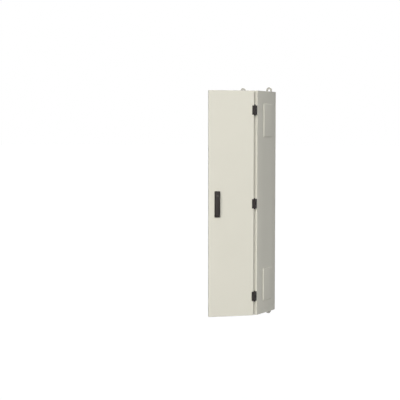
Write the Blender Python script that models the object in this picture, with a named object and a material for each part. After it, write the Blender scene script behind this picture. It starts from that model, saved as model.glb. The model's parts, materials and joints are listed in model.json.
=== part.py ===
"""Wall-hung sheet-steel switchboard cabinet with a full-height door standing 45 degrees open.

Frame: X to the right of someone facing the door, Y towards the wall, Z up. The origin is the middle of the
wall plane that the four wall brackets touch. All sizes are in metres and all angles in degrees.
Each door piece is modelled where it lies with the door shut, and its carrier then swings it open.
"""

import math

import bmesh
import bpy
from mathutils import Vector

# Body shell
BODY_WIDTH = 0.300
BODY_HEIGHT = 1.400
BODY_DEPTH = 0.245
SHEET = 0.0015
FIT = 0.0003  # gap left between pieces that touch
WALL_STANDOFF = 0.010
FRONT_FLANGE = 0.024  # frame above and below the door opening
SIDE_FRONT_FLANGE = 0.028  # frame beside it, seen past the edge of the door
FRONT_LIP = 0.010  # stiffening edge turned in from the side flanges
SIDE_REAR_FLANGE = 0.020
END_REAR_FLANGE = 0.050  # taller on roof and floor, where the wall brackets bolt on

# Side cover plates over the cable passages
COVER_HEIGHT = 0.212
COVER_END_MARGIN = 0.077
COVER_FRONT_MARGIN = 0.078
COVER_REAR_MARGIN = 0.047
COVER_RISE = 0.004
COVER_BEVEL = 0.003
COVER_OVERLAP = 0.006  # cover rim lying on the wall round its cutout
COVER_SKIRT = 0.002
COVER_CORNER = 0.010

# Cable gland plates in roof and floor
GLAND_WIDTH = 0.200
GLAND_DEPTH = 0.140
GLAND_RIM = 0.010
GLAND_THICKNESS = 0.002
GASKET_THICKNESS = 0.002

# Wall brackets
BRACKET_FROM_SIDE = 0.054
BRACKET_WIDTH = 0.041
BRACKET_THICKNESS = 0.003
BRACKET_EYE = 0.0165
BRACKET_EYE_BEYOND = 0.0115  # eye centre past the end of the body
BRACKET_LENGTH = 0.047
BRACKET_JOGGLE = 0.010
BRACKET_BOLT_HOLE = 0.0086
BRACKET_BOLTS = (0.024, 0.038)  # from the end of the body

# Mounting frame
UPRIGHT_WIDTH = 0.020
UPRIGHT_DEPTH = 0.025
UPRIGHT_WALL = 0.0015
UPRIGHT_SIDE_GAP = 0.007
UPRIGHT_TO_REAR = 0.095
ROWS = 9  # one connection row and eight device rows
END_SPACE = 0.025
RAIL_HEIGHT = 0.035
RAIL_DEPTH = 0.0075
RAIL_GAUGE = 0.001
RAIL_WEB = 0.027

# Touch guards
ROWS_PER_GUARD = 3
GUARD_SIDE_INSET = 0.0015  # guard edge inside the uprights' outer faces
GUARD_DEPTH = 0.012
GUARD_WALL = 0.002
GUARD_BEFORE_RAIL = 0.047  # guard face in front of the rail face
GUARD_GAP = 0.001
GUARD_LEG = 0.010
GUARD_LEG_INSET = 0.015
WINDOW_FROM_UPRIGHT = 0.013
WINDOW_HEIGHT = 0.046

# Terminal bars in the connection space
BAR_SECTION = 0.009
BAR_LENGTH = 0.200
BAR_SPACING = 0.030
EARTH_BAR_INSET = 0.0065  # bar end inside the uprights' outer faces
SUPPORT_WIDTH = 0.014

# Door
DOOR_OPEN = 45.0
DOOR_DEPTH = 0.020
DOOR_GAP = 0.004
DOOR_SIDE_MARGIN = 0.0015
DOOR_END_MARGIN = 0.001
DOOR_RETURN = 0.017
DOOR_GASKET_WIDTH = 0.007
DOOR_GASKET_INSET = 0.003
STIFFENER_WIDTH = 0.020
STIFFENER_DEPTH = 0.012
STIFFENER_FOOT = 0.005
STIFFENER_FROM_EDGE = 0.020
STIFFENER_END = 0.060
POCKET_WIDTH = 0.150
POCKET_HEIGHT = 0.200
POCKET_DEPTH = 0.018
POCKET_WALL = 0.002
POCKET_DIP = 0.050  # finger dip in the front's upper edge
POCKET_ABOVE_END = 0.270

# Hinges
AXIS_FROM_SIDE = 0.0055
AXIS_BEHIND_DOOR_FACE = 0.002
DOOR_EDGE_FROM_AXIS = 0.0055
HINGE_LEAF_HEIGHT = 0.058
HINGE_FROM_END = 0.121
HINGE_KNUCKLE = 0.010
HINGE_PIN = 0.005
HINGE_TIP = 0.0055
HINGE_SHOULDER = 0.0011
HINGE_MIDDLE = 0.0196
HINGE_DOOR_REACH = 0.012
HINGE_LEAF_THICKNESS = 0.0035

# Swing handle
HANDLE_FROM_EDGE = 0.0535
HANDLE_LENGTH = 0.162
HANDLE_WIDTH = 0.035
HANDLE_BASE_THICKNESS = 0.007
HANDLE_CORNER = 0.004
LEVER_WIDTH = 0.028
LEVER_INSET = 0.002  # lever end short of the base end
LEVER_CLEARANCE = 0.0005
LEVER_PEAK = 0.020
LEVER_END_HEIGHT = 0.0175
LEVER_SLOPE = 0.004  # length of the step from the fork down to the handle's base
LEVER_ROOT = 0.0125  # lowest end of the lever's body above its pivot
LEVER_WALL = 0.004
HOLLOW_DEPTH = 0.006  # hollow in the lever's underside
HOLLOW_FROM_CYLINDER = 0.013
SPINDLE_ABOVE_END = 0.028
SPINDLE_DIAMETER = 0.012
HUB_WIDTH = 0.028
HUB_HEIGHT = 0.029
HUB_THICKNESS = 0.003
SHAFT_BEYOND_CASE = 0.003
EAR_THICKNESS = 0.004
EAR_HEIGHT = 0.0104
EAR_REACH = 0.009  # upper end of the ears above the pivot
PIVOT_BELOW_SPINDLE = 0.019
PIVOT_HEIGHT = 0.013
PIVOT_RADIUS = 0.005
LEVER_PIN = 0.004
CYLINDER_BELOW_TOP = 0.029
CYLINDER_DIAMETER = 0.014
CYLINDER_PROUD = 0.0008
CYLINDER_SEAT = 0.002  # lever material behind the cylinder
KEYWAY = 0.002

# Three-point lock
MODULE = 0.0015
PINION_TEETH = 15
PRESSURE_ANGLE = 20.0
BACKLASH = 0.00025
PINION_WIDTH = 0.006
ROD_WIDTH = 0.010
ROD_THICKNESS = 0.004
ROD_BEHIND_FLANGE = 0.0025
ROD_ENGAGEMENT = 0.010
ROD_TIP = 0.003
HANDLE_TURN = 90.0
LOCK_CASE_BESIDE_ROD = 0.000875
LOCK_CASE_HEIGHT = 0.060
LOCK_CASE_WALL = 0.0025
LOCK_CASE_FOOT = 0.009
LOCK_CASE_CLEARANCE = 0.001
GUIDE_WALL = 0.003
GUIDE_HEIGHT = 0.016
GUIDE_BELOW_FLANGE = 0.012
GUIDE_CLEARANCE = 0.0004
KEEPER_THICKNESS = 0.0018
KEEPER_SIDE = 0.003
KEEPER_BEARING = 0.001  # bearing edge inside the frame flange's edge
KEEPER_FOOT = 0.0072

# Planes that the sizes above give
RIGHT = BODY_WIDTH / 2
TOP = BODY_HEIGHT / 2
BACK = -WALL_STANDOFF
FRONT = BACK - BODY_DEPTH
INNER_SIDE = RIGHT - SHEET - FIT
INNER_TOP = TOP - SHEET - FIT
REAR_PANEL_BACK = BACK - SHEET - FIT
REAR_PANEL_FRONT = REAR_PANEL_BACK - SHEET
DOOR_BACK = FRONT - DOOR_GAP
DOOR_FRONT = DOOR_BACK - DOOR_DEPTH
DOOR_INNER = DOOR_FRONT + SHEET + FIT
HINGE_X = RIGHT - AXIS_FROM_SIDE
HINGE_Y = DOOR_FRONT + AXIS_BEHIND_DOOR_FACE
DOOR_LEFT = -RIGHT + DOOR_SIDE_MARGIN
DOOR_RIGHT = HINGE_X - DOOR_EDGE_FROM_AXIS
DOOR_TOP = TOP - DOOR_END_MARGIN
HANDLE_X = DOOR_LEFT + HANDLE_FROM_EDGE
SPINDLE_Z = SPINDLE_ABOVE_END - HANDLE_LENGTH / 2
PIVOT_Z = SPINDLE_Z - PIVOT_BELOW_SPINDLE
HUB_LOW = PIVOT_Z + PIVOT_RADIUS + LEVER_CLEARANCE  # lower edge of the fork's plate
CYLINDER_Z = HANDLE_LENGTH / 2 - CYLINDER_BELOW_TOP
UPRIGHT_X = INNER_SIDE - UPRIGHT_SIDE_GAP + FIT  # outer face of the right upright
UPRIGHT_BACK = REAR_PANEL_FRONT - UPRIGHT_TO_REAR
UPRIGHT_FRONT = UPRIGHT_BACK - UPRIGHT_DEPTH
RAIL_BACK = UPRIGHT_FRONT - FIT
RAIL_FRONT = RAIL_BACK - RAIL_DEPTH
ROW_PITCH = (BODY_HEIGHT - 2 * END_SPACE) / ROWS
GUARD_HALF = UPRIGHT_X - GUARD_SIDE_INSET
WINDOW_HALF = UPRIGHT_X - UPRIGHT_WIDTH - WINDOW_FROM_UPRIGHT
EARTH_BAR_HALF = UPRIGHT_X - EARTH_BAR_INSET
GUARD_FRONT = RAIL_FRONT - GUARD_BEFORE_RAIL
GUARD_BACK = GUARD_FRONT + GUARD_DEPTH
PITCH_RADIUS = MODULE * PINION_TEETH / 2
ADDENDUM = 0.8 * MODULE
DEDENDUM = 1.25 * MODULE
ROD_TRAVEL = PITCH_RADIUS * math.radians(HANDLE_TURN)
ROD_INNER = PITCH_RADIUS + DEDENDUM  # rod edge nearest the spindle
ROD_FRONT = FRONT + SHEET + ROD_BEHIND_FLANGE
ROD_BACK = ROD_FRONT + ROD_THICKNESS
ROD_MIDDLE = (ROD_FRONT + ROD_BACK) / 2
ROD_CENTRE = ROD_INNER + ROD_WIDTH / 2  # rod's middle line beside the spindle
ROD_END = TOP - FRONT_FLANGE + ROD_ENGAGEMENT
LOCK_CASE_WEB = ROD_MIDDLE + PINION_WIDTH / 2 + LOCK_CASE_CLEARANCE
LOCK_CASE_HALF = ROD_INNER + ROD_WIDTH + LOCK_CASE_BESIDE_ROD + LOCK_CASE_WALL
LEVER_FLOOR = 2 * FIT + HANDLE_BASE_THICKNESS + LEVER_CLEARANCE  # lever's back in front of the door

# Finishes: colour, roughness, metallic
PAINT = ((0.72, 0.70, 0.63), 0.45, 0.0)
BLACK_PLASTIC = ((0.035, 0.030, 0.030), 0.45, 0.0)
ZINC = ((0.62, 0.63, 0.64), 0.35, 1.0)
BRASS = ((0.72, 0.55, 0.28), 0.35, 1.0)
RUBBER = ((0.03, 0.03, 0.03), 0.8, 0.0)
GUARD_PLASTIC = ((0.75, 0.75, 0.73), 0.5, 0.0)
BLACK_CHROME = ((0.10, 0.095, 0.09), 0.3, 1.0)

ROUND = 16  # sides of a small round piece
SMALL_ROUND = 12  # sides of a pin or bolt hole


def clear_scene():
    for old in list(bpy.data.objects):
        bpy.data.objects.remove(old, do_unlink=True)


class Carrier:
    """An empty on a joint's axis, and where that axis lies with the door shut."""

    def __init__(self, name, place, parent=None, turn=0.0):
        self.place = Vector(place)
        self.empty = bpy.data.objects.new(name, None)
        self.empty.empty_display_size = 0.03
        bpy.context.collection.objects.link(self.empty)
        self.empty.location = self.place
        if parent:
            self.empty.parent = parent.empty
            self.empty.location = self.place - parent.place
        self.empty.rotation_euler.z = math.radians(turn)


def shape(verts, faces):
    """A bmesh of these points and faces, with its faces turned outwards."""
    made = bmesh.new()
    points = [made.verts.new(v) for v in verts]
    for face in faces:
        made.faces.new([points[i] for i in face])
    bmesh.ops.recalc_face_normals(made, faces=made.faces)
    return made


def block(low, high):
    (x0, y0, z0), (x1, y1, z1) = low, high
    return prism([(x0, y0), (x1, y0), (x1, y1), (x0, y1)], "z", z0, z1)


def placed(u, v, w, axis):
    """A point from its two outline coordinates and its place along the axis."""
    return {"x": (w, u, v), "y": (u, w, v), "z": (u, v, w)}[axis]


def prism(outline, axis, start, end):
    """An outline carried along an axis. It is (y, z) for x, (x, z) for y and (x, y) for z."""
    count = len(outline)
    verts = [placed(u, v, w, axis) for w in (start, end) for u, v in outline]
    sides = [(i, (i + 1) % count, count + (i + 1) % count, count + i) for i in range(count)]
    return shape(verts, [tuple(range(count)), tuple(range(count, 2 * count))] + sides)


def ring(outer, inner, axis, start, end):
    """A prism between two outlines with as many points each."""
    count = len(outer)
    verts = [placed(u, v, w, axis) for w in (start, end) for u, v in outer + inner]
    faces = []
    for i in range(count):
        j = (i + 1) % count
        for a, b in ((0, count), (2 * count, 3 * count), (0, 2 * count), (count, 3 * count)):
            faces.append((a + i, a + j, b + j, b + i))
    return shape(verts, faces)


def loft(outlines, axis, stations):
    """Outlines with as many points each, joined in turn from station to station and closed at both ends."""
    count = len(outlines[0])
    verts = [placed(u, v, w, axis) for line, w in zip(outlines, stations) for u, v in line]
    last = count * (len(outlines) - 1)
    faces = [tuple(range(count)), tuple(range(last, last + count))]
    for first in range(0, last, count):
        for i in range(count):
            j = (i + 1) % count
            faces.append((first + i, first + j, first + count + j, first + count + i))
    return shape(verts, faces)


def circle(u, v, radius, sides=ROUND):
    return arc(u, v, radius, 0, 360, sides)[:-1]


def arc(u, v, radius, start, end, steps):
    turns = [math.radians(start + (end - start) * i / steps) for i in range(steps + 1)]
    return [(u + radius * math.cos(t), v + radius * math.sin(t)) for t in turns]


def rectangle(u0, v0, u1, v1):
    return [(u0, v0), (u1, v0), (u1, v1), (u0, v1)]


def rounded(u0, v0, u1, v1, radius, steps=3):
    corners = ((u1 - radius, v1 - radius, 0), (u0 + radius, v1 - radius, 90))
    corners += ((u0 + radius, v0 + radius, 180), (u1 - radius, v0 + radius, 270))
    return [p for u, v, turn in corners for p in arc(u, v, radius, turn, turn + 90, steps)]


def turned(profile, u, v, axis, sides=ROUND):
    """A turned piece: (radius, place along the axis) from end to end, about the line through (u, v)."""
    return loft([circle(u, v, radius, sides) for radius, _ in profile], axis, [w for _, w in profile])


def add(name, made, finish, carrier=None, helper=False):
    mesh = bpy.data.meshes.new(name)
    made.to_mesh(mesh)
    made.free()
    obj = bpy.data.objects.new(name, mesh)
    bpy.context.collection.objects.link(obj)
    if carrier:
        obj.parent = carrier.empty
        for vertex in mesh.vertices:
            vertex.co -= carrier.place
    if helper:
        obj.hide_render = True
        obj.display_type = "WIRE"
        return obj
    colour, roughness, metallic = finish
    material = bpy.data.materials.new(f"{name}_finish")
    material.use_nodes = True
    surface = material.node_tree.nodes["Principled BSDF"]
    surface.inputs["Base Color"].default_value = (*colour, 1)
    surface.inputs["Roughness"].default_value = roughness
    surface.inputs["Metallic"].default_value = metallic
    mesh.materials.append(material)
    mesh.shade_smooth()
    mesh.set_sharp_from_angle(angle=math.radians(30))
    return obj


def combine(obj, tool, operation, carrier):
    """A Boolean of obj with one helper shape under the same carrier."""
    step = len(obj.modifiers)
    helper = add(f"{obj.name}_{operation.lower()}_{step}", tool, None, carrier, helper=True)
    modifier = obj.modifiers.new(helper.name, "BOOLEAN")
    modifier.operation = operation
    modifier.object = helper
    modifier.solver = "EXACT"


def cut(obj, tools, carrier=None):
    for tool in tools:
        combine(obj, tool, "DIFFERENCE", carrier)


def join(obj, tools, carrier=None):
    for tool in tools:
        combine(obj, tool, "UNION", carrier)


def side_name(side):
    return "right" if side > 0 else "left"


def end_name(end):
    return "top" if end > 0 else "bottom"


def cover_box():
    """The side cover's outline at the upper right: (y, z) low and high corners."""
    high = TOP - COVER_END_MARGIN
    return FRONT + COVER_FRONT_MARGIN, high - COVER_HEIGHT, BACK - COVER_REAR_MARGIN, high


def inset(box, by):
    u0, v0, u1, v1 = box
    return u0 + by, v0 + by, u1 - by, v1 - by


def mirrored_z(box):
    u0, v0, u1, v1 = box
    return u0, -v1, u1, -v0


def side_wall(side):
    """A folded sheet: the wall, a front flange with its lip, and a rear flange."""
    edge = RIGHT - SIDE_FRONT_FLANGE
    profile = [
        (RIGHT, FRONT),
        (RIGHT, BACK),
        (RIGHT - SIDE_REAR_FLANGE, BACK),
        (RIGHT - SIDE_REAR_FLANGE, BACK - SHEET),
        (RIGHT - SHEET, BACK - SHEET),
        (RIGHT - SHEET, FRONT + SHEET),
        (edge + SHEET, FRONT + SHEET),
        (edge + SHEET, FRONT + FRONT_LIP),
        (edge, FRONT + FRONT_LIP),
        (edge, FRONT),
    ]
    folded = prism([(side * x, y) for x, y in profile], "z", -TOP, TOP)
    wall = add(f"{side_name(side)}_side_wall", folded, PAINT)
    for end in (-1, 1):
        notch = rectangle(edge - SHEET, FRONT + SHEET, edge + 2 * SHEET, FRONT + FRONT_LIP + SHEET)
        notch = [(side * x, y) for x, y in notch]
        cut(wall, [prism(notch, "z", end * (TOP - FRONT_FLANGE), end * (TOP + SHEET))])
    inside, outside = side * (RIGHT - 3 * SHEET), side * (RIGHT + SHEET)
    for box in (cover_box(), mirrored_z(cover_box())):
        opening = rounded(*inset(box, COVER_OVERLAP), COVER_CORNER - COVER_OVERLAP / 2)
        cut(wall, [prism(opening, "x", inside, outside)])


def side_cover(side, box, name):
    """A pressed cover with a bevelled rise and a skirt that fills the cutout behind it."""
    skirt = rounded(*inset(box, COVER_OVERLAP + FIT), COVER_CORNER - COVER_OVERLAP / 2)
    rim = rounded(*box, COVER_CORNER)
    crown = rounded(*inset(box, COVER_BEVEL), COVER_CORNER - COVER_BEVEL)
    face = RIGHT + FIT
    stations = [face, face + SHEET / 2, face + COVER_RISE]
    cover = add(name, loft([rim, rim, crown], "x", [side * s for s in stations]), PAINT)
    join(cover, [prism(skirt, "x", side * (RIGHT - SHEET - COVER_SKIRT), side * (face + SHEET))])
    hollow = rounded(*inset(box, COVER_OVERLAP + 2 * SHEET), COVER_CORNER - COVER_OVERLAP / 2)
    hollow_start, hollow_end = RIGHT - 3 * SHEET - COVER_SKIRT, face + COVER_RISE - SHEET
    cut(cover, [prism(hollow, "x", side * hollow_start, side * hollow_end)])


def end_panel(end):
    """Roof or floor: a sheet between the side walls with its front and rear flanges folded in."""
    inner_z = end * (TOP - SHEET)
    outer_z = end * TOP
    sheet = block(
        (-INNER_SIDE, FRONT + SHEET + FIT, min(inner_z, outer_z)),
        (INNER_SIDE, BACK - SHEET - FIT, max(inner_z, outer_z)),
    )
    panel = add("roof_panel" if end > 0 else "floor_panel", sheet, PAINT)
    front_x = RIGHT - SIDE_FRONT_FLANGE - FIT
    rear_x = RIGHT - SIDE_REAR_FLANGE - FIT
    overlap = 4 * SHEET
    front = [
        (FRONT, outer_z),
        (FRONT + overlap, outer_z),
        (FRONT + overlap, inner_z),
        (FRONT + SHEET, inner_z),
        (FRONT + SHEET, end * (TOP - FRONT_FLANGE)),
        (FRONT, end * (TOP - FRONT_FLANGE)),
    ]
    rear = [
        (BACK, outer_z),
        (BACK - overlap, outer_z),
        (BACK - overlap, inner_z),
        (BACK - SHEET, inner_z),
        (BACK - SHEET, end * (TOP - END_REAR_FLANGE)),
        (BACK, end * (TOP - END_REAR_FLANGE)),
    ]
    join(panel, [prism(front, "x", -front_x, front_x), prism(rear, "x", -rear_x, rear_x)])
    opening = rectangle(*inset(gland_box(), GLAND_RIM))
    cut(panel, [prism(opening, "z", end * (TOP - 2 * SHEET), end * (TOP + SHEET))])
    for side in (-1, 1):
        cut(panel, bolt_cutters(side, end))


def gland_box():
    middle = (FRONT + BACK) / 2
    return -GLAND_WIDTH / 2, middle - GLAND_DEPTH / 2, GLAND_WIDTH / 2, middle + GLAND_DEPTH / 2


def gland(end):
    """A blank plate under its gasket, both inside the roof or floor opening's rim."""
    top = INNER_TOP
    seal = ring(
        rectangle(*gland_box()),
        rectangle(*inset(gland_box(), GLAND_RIM)),
        "z",
        end * (top - GASKET_THICKNESS),
        end * top,
    )
    add(f"{end_name(end)}_gland_gasket", seal, RUBBER)
    plate_top = top - GASKET_THICKNESS - FIT
    plate = prism(rectangle(*gland_box()), "z", end * (plate_top - GLAND_THICKNESS), end * plate_top)
    add(f"{end_name(end)}_gland_plate", plate, PAINT)


def bolt_cutters(side, end):
    """Cutters for the bolts that hold one wall bracket, through bracket, flange and rear panel."""
    x = side * (RIGHT - BRACKET_FROM_SIDE)
    reach = (REAR_PANEL_FRONT - SHEET, 0)
    return [
        prism(circle(x, end * (TOP - down), BRACKET_BOLT_HOLE / 2, SMALL_ROUND), "y", *reach)
        for down in BRACKET_BOLTS
    ]


def rear_panel():
    panel = add(
        "rear_panel",
        block((-INNER_SIDE, REAR_PANEL_FRONT, -INNER_TOP), (INNER_SIDE, REAR_PANEL_BACK, INNER_TOP)),
        PAINT,
    )
    for side in (-1, 1):
        for end in (-1, 1):
            cut(panel, bolt_cutters(side, end))


def wall_bracket(side, end):
    """A joggled strip bolted to the back, ending in a round eye that stands on the wall plane."""
    x = side * (RIGHT - BRACKET_FROM_SIDE)
    half = BRACKET_WIDTH / 2
    seat = BACK + FIT
    strip = [
        (seat, TOP - BRACKET_LENGTH),
        (seat + BRACKET_THICKNESS, TOP - BRACKET_LENGTH),
        (seat + BRACKET_THICKNESS, TOP - BRACKET_JOGGLE - FIT),
        (0, TOP - FIT),
        (0, TOP + BRACKET_EYE_BEYOND),
        (-BRACKET_THICKNESS, TOP + BRACKET_EYE_BEYOND),
        (-BRACKET_THICKNESS, TOP + BRACKET_THICKNESS / 2),
        (seat, TOP - BRACKET_JOGGLE + BRACKET_THICKNESS / 2),
    ]
    name = f"wall_bracket_{end_name(end)}_{side_name(side)}"
    bracket = add(name, prism([(y, end * z) for y, z in strip], "x", x - half, x + half), ZINC)
    eye = arc(x, TOP + BRACKET_EYE_BEYOND, half, 0, 180, 12)
    eye += [(x - half, TOP + BRACKET_THICKNESS), (x + half, TOP + BRACKET_THICKNESS)]
    join(bracket, [prism([(u, end * v) for u, v in eye], "y", -BRACKET_THICKNESS, 0)])
    hole = circle(x, end * (TOP + BRACKET_EYE_BEYOND), BRACKET_EYE / 2, 20)
    cut(bracket, [prism(hole, "y", -2 * BRACKET_THICKNESS, BRACKET_THICKNESS)])
    cut(bracket, bolt_cutters(side, end))


def upright(side):
    """A channel open to the rear that stands on the floor and reaches the roof."""
    outer, inner = UPRIGHT_X, UPRIGHT_X - UPRIGHT_WIDTH
    profile = [
        (outer, UPRIGHT_FRONT),
        (outer, UPRIGHT_BACK),
        (outer - UPRIGHT_WALL, UPRIGHT_BACK),
        (outer - UPRIGHT_WALL, UPRIGHT_FRONT + UPRIGHT_WALL),
        (inner + UPRIGHT_WALL, UPRIGHT_FRONT + UPRIGHT_WALL),
        (inner + UPRIGHT_WALL, UPRIGHT_BACK),
        (inner, UPRIGHT_BACK),
        (inner, UPRIGHT_FRONT),
    ]
    channel = prism([(side * x, y) for x, y in profile], "z", -INNER_TOP, INNER_TOP)
    add(f"{side_name(side)}_upright", channel, ZINC)


def row_heights():
    """Middle heights of the rows, bottom to top. The bottom row is the connection space."""
    lowest = -(ROWS - 1) * ROW_PITCH / 2
    return [lowest + i * ROW_PITCH for i in range(ROWS)]


def din_rail(number, z):
    """A 35 mm hat rail across the uprights, its web against them."""
    web, half = RAIL_WEB / 2, RAIL_HEIGHT / 2
    profile = [
        (RAIL_BACK, -web),
        (RAIL_BACK, web),
        (RAIL_FRONT + RAIL_GAUGE, web),
        (RAIL_FRONT + RAIL_GAUGE, half),
        (RAIL_FRONT, half),
        (RAIL_FRONT, web - RAIL_GAUGE),
        (RAIL_BACK - RAIL_GAUGE, web - RAIL_GAUGE),
        (RAIL_BACK - RAIL_GAUGE, RAIL_GAUGE - web),
        (RAIL_FRONT, RAIL_GAUGE - web),
        (RAIL_FRONT, -half),
        (RAIL_FRONT + RAIL_GAUGE, -half),
        (RAIL_FRONT + RAIL_GAUGE, -web),
    ]
    strip = prism([(y, z + v) for y, v in profile], "x", -UPRIGHT_X, UPRIGHT_X)
    add(f"din_rail_{number}", strip, ZINC)


def touch_guard(name, rows):
    """A shallow moulded tray with a window for each of its rows and four legs on the uprights."""
    low = rows[0] - ROW_PITCH / 2 + GUARD_GAP / 2
    high = rows[-1] + ROW_PITCH / 2 - GUARD_GAP / 2
    tray = block((-GUARD_HALF, GUARD_FRONT, low), (GUARD_HALF, GUARD_BACK, high))
    guard = add(name, tray, GUARD_PLASTIC)
    hollow = block(
        (-GUARD_HALF + GUARD_WALL, GUARD_FRONT + GUARD_WALL, low + GUARD_WALL),
        (GUARD_HALF - GUARD_WALL, GUARD_BACK + GUARD_WALL, high - GUARD_WALL),
    )
    cut(guard, [hollow])
    x = UPRIGHT_X - UPRIGHT_WIDTH / 2
    for side in (-1, 1):
        for z in (low + GUARD_LEG_INSET, high - GUARD_LEG_INSET):
            low_leg = (side * x - GUARD_LEG / 2, GUARD_FRONT + GUARD_WALL / 2, z - GUARD_LEG / 2)
            high_leg = (side * x + GUARD_LEG / 2, UPRIGHT_FRONT - FIT, z + GUARD_LEG / 2)
            join(guard, [block(low_leg, high_leg)])
    for z in rows:
        window = rectangle(-WINDOW_HALF, z - WINDOW_HEIGHT / 2, WINDOW_HALF, z + WINDOW_HEIGHT / 2)
        cut(guard, [prism(window, "y", GUARD_FRONT - GUARD_WALL, GUARD_FRONT + 2 * GUARD_WALL)])


def terminal_bars(z):
    """The earth bar lies on the uprights. The neutral bar stands off it on two insulators."""
    earth_low = z - BAR_SPACING
    earth_front = UPRIGHT_FRONT - FIT - BAR_SECTION
    earth = block(
        (-EARTH_BAR_HALF, earth_front, earth_low),
        (EARTH_BAR_HALF, earth_front + BAR_SECTION, earth_low + BAR_SECTION),
    )
    add("earth_bar", earth, BRASS)
    support_top = z + BAR_SPACING
    support_front = earth_front - BAR_SECTION
    for side in (-1, 1):
        middle = side * (BAR_LENGTH / 2 - SUPPORT_WIDTH)
        profile = [
            (earth_front - FIT, earth_low),
            (earth_front - FIT, earth_low + BAR_SECTION + FIT),
            (earth_front + BAR_SECTION, earth_low + BAR_SECTION + FIT),
            (earth_front + BAR_SECTION, support_top),
            (support_front, support_top),
            (support_front, earth_low),
        ]
        stand = prism(profile, "x", middle - SUPPORT_WIDTH / 2, middle + SUPPORT_WIDTH / 2)
        add(f"neutral_bar_support_{side_name(side)}", stand, BLACK_PLASTIC)
    front = support_front - FIT - BAR_SECTION
    neutral = block(
        (-BAR_LENGTH / 2, front, z + BAR_SPACING - 2 * BAR_SECTION),
        (BAR_LENGTH / 2, front + BAR_SECTION, z + BAR_SPACING - BAR_SECTION),
    )
    add("neutral_bar", neutral, BRASS)


def rod_keeper(end, middle_x):
    """A hardened angle behind the frame flange, where the lock rod bears."""
    front = FRONT + SHEET + FIT
    bearing = TOP - FRONT_FLANGE + KEEPER_BEARING
    profile = [
        (front, bearing),
        (front, INNER_TOP),
        (front + KEEPER_FOOT, INNER_TOP),
        (front + KEEPER_FOOT, INNER_TOP - KEEPER_THICKNESS),
        (front + KEEPER_THICKNESS, INNER_TOP - KEEPER_THICKNESS),
        (front + KEEPER_THICKNESS, bearing),
    ]
    half = ROD_WIDTH / 2 + KEEPER_SIDE
    angle = prism([(y, end * z) for y, z in profile], "x", middle_x - half, middle_x + half)
    add(f"rod_keeper_{end_name(end)}", angle, ZINC)


def build_body():
    for side in (-1, 1):
        side_wall(side)
        side_cover(side, cover_box(), f"side_cover_{side_name(side)}_upper")
        side_cover(side, mirrored_z(cover_box()), f"side_cover_{side_name(side)}_lower")
        upright(side)
        for end in (-1, 1):
            wall_bracket(side, end)
    for end in (-1, 1):
        end_panel(end)
        gland(end)
        rod_keeper(end, HANDLE_X + end * ROD_CENTRE)
    rear_panel()
    rows = row_heights()
    terminal_bars(rows[0])
    device_rows = rows[1:]
    for number, z in enumerate(device_rows, 1):
        din_rail(number, z)
    for number, first in enumerate(range(0, len(device_rows), ROWS_PER_GUARD), 1):
        touch_guard(f"touch_guard_{number}", device_rows[first : first + ROWS_PER_GUARD])


def door_panel(carrier):
    """A pan of folded sheet, open to the rear inside a return all round."""
    low = (DOOR_LEFT, DOOR_FRONT, -DOOR_TOP)
    high = (DOOR_RIGHT, DOOR_BACK, DOOR_TOP)
    panel = add("door_panel", block(low, high), PAINT, carrier)
    cavity = block(
        (DOOR_LEFT + SHEET, DOOR_FRONT + SHEET, -DOOR_TOP + SHEET),
        (DOOR_RIGHT - SHEET, DOOR_BACK - SHEET, DOOR_TOP - SHEET),
    )
    mouth = block(
        (DOOR_LEFT + DOOR_RETURN, DOOR_FRONT + DOOR_DEPTH / 2, -DOOR_TOP + DOOR_RETURN),
        (DOOR_RIGHT - DOOR_RETURN, DOOR_BACK + SHEET, DOOR_TOP - DOOR_RETURN),
    )
    spindle = prism(circle(HANDLE_X, SPINDLE_Z, SPINDLE_DIAMETER / 2 + FIT), "y", *through_door())
    cut(panel, [cavity, mouth, spindle], carrier)


def through_door():
    return DOOR_FRONT - SHEET, DOOR_FRONT + 2 * SHEET


def door_gasket(carrier):
    outline = inset((DOOR_LEFT, -DOOR_TOP, DOOR_RIGHT, DOOR_TOP), DOOR_GASKET_INSET)
    inner = inset(outline, DOOR_GASKET_WIDTH)
    seal = ring(rectangle(*outline), rectangle(*inner), "y", DOOR_BACK + FIT, FRONT - FIT)
    add("door_gasket", seal, RUBBER, carrier)


def door_stiffener(carrier):
    """A hat channel along the hinge side of the door's inner face."""
    high = DOOR_RIGHT - STIFFENER_FROM_EDGE
    low = high - STIFFENER_WIDTH
    foot = STIFFENER_FOOT
    top = DOOR_INNER + STIFFENER_DEPTH
    profile = [
        (low, DOOR_INNER),
        (low + foot + SHEET, DOOR_INNER),
        (low + foot + SHEET, top - SHEET),
        (high - foot - SHEET, top - SHEET),
        (high - foot - SHEET, DOOR_INNER),
        (high, DOOR_INNER),
        (high, DOOR_INNER + SHEET),
        (high - foot, DOOR_INNER + SHEET),
        (high - foot, top),
        (low + foot, top),
        (low + foot, DOOR_INNER + SHEET),
        (low, DOOR_INNER + SHEET),
    ]
    reach = DOOR_TOP - STIFFENER_END
    add("door_stiffener", prism(profile, "z", -reach, reach), PAINT, carrier)


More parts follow.
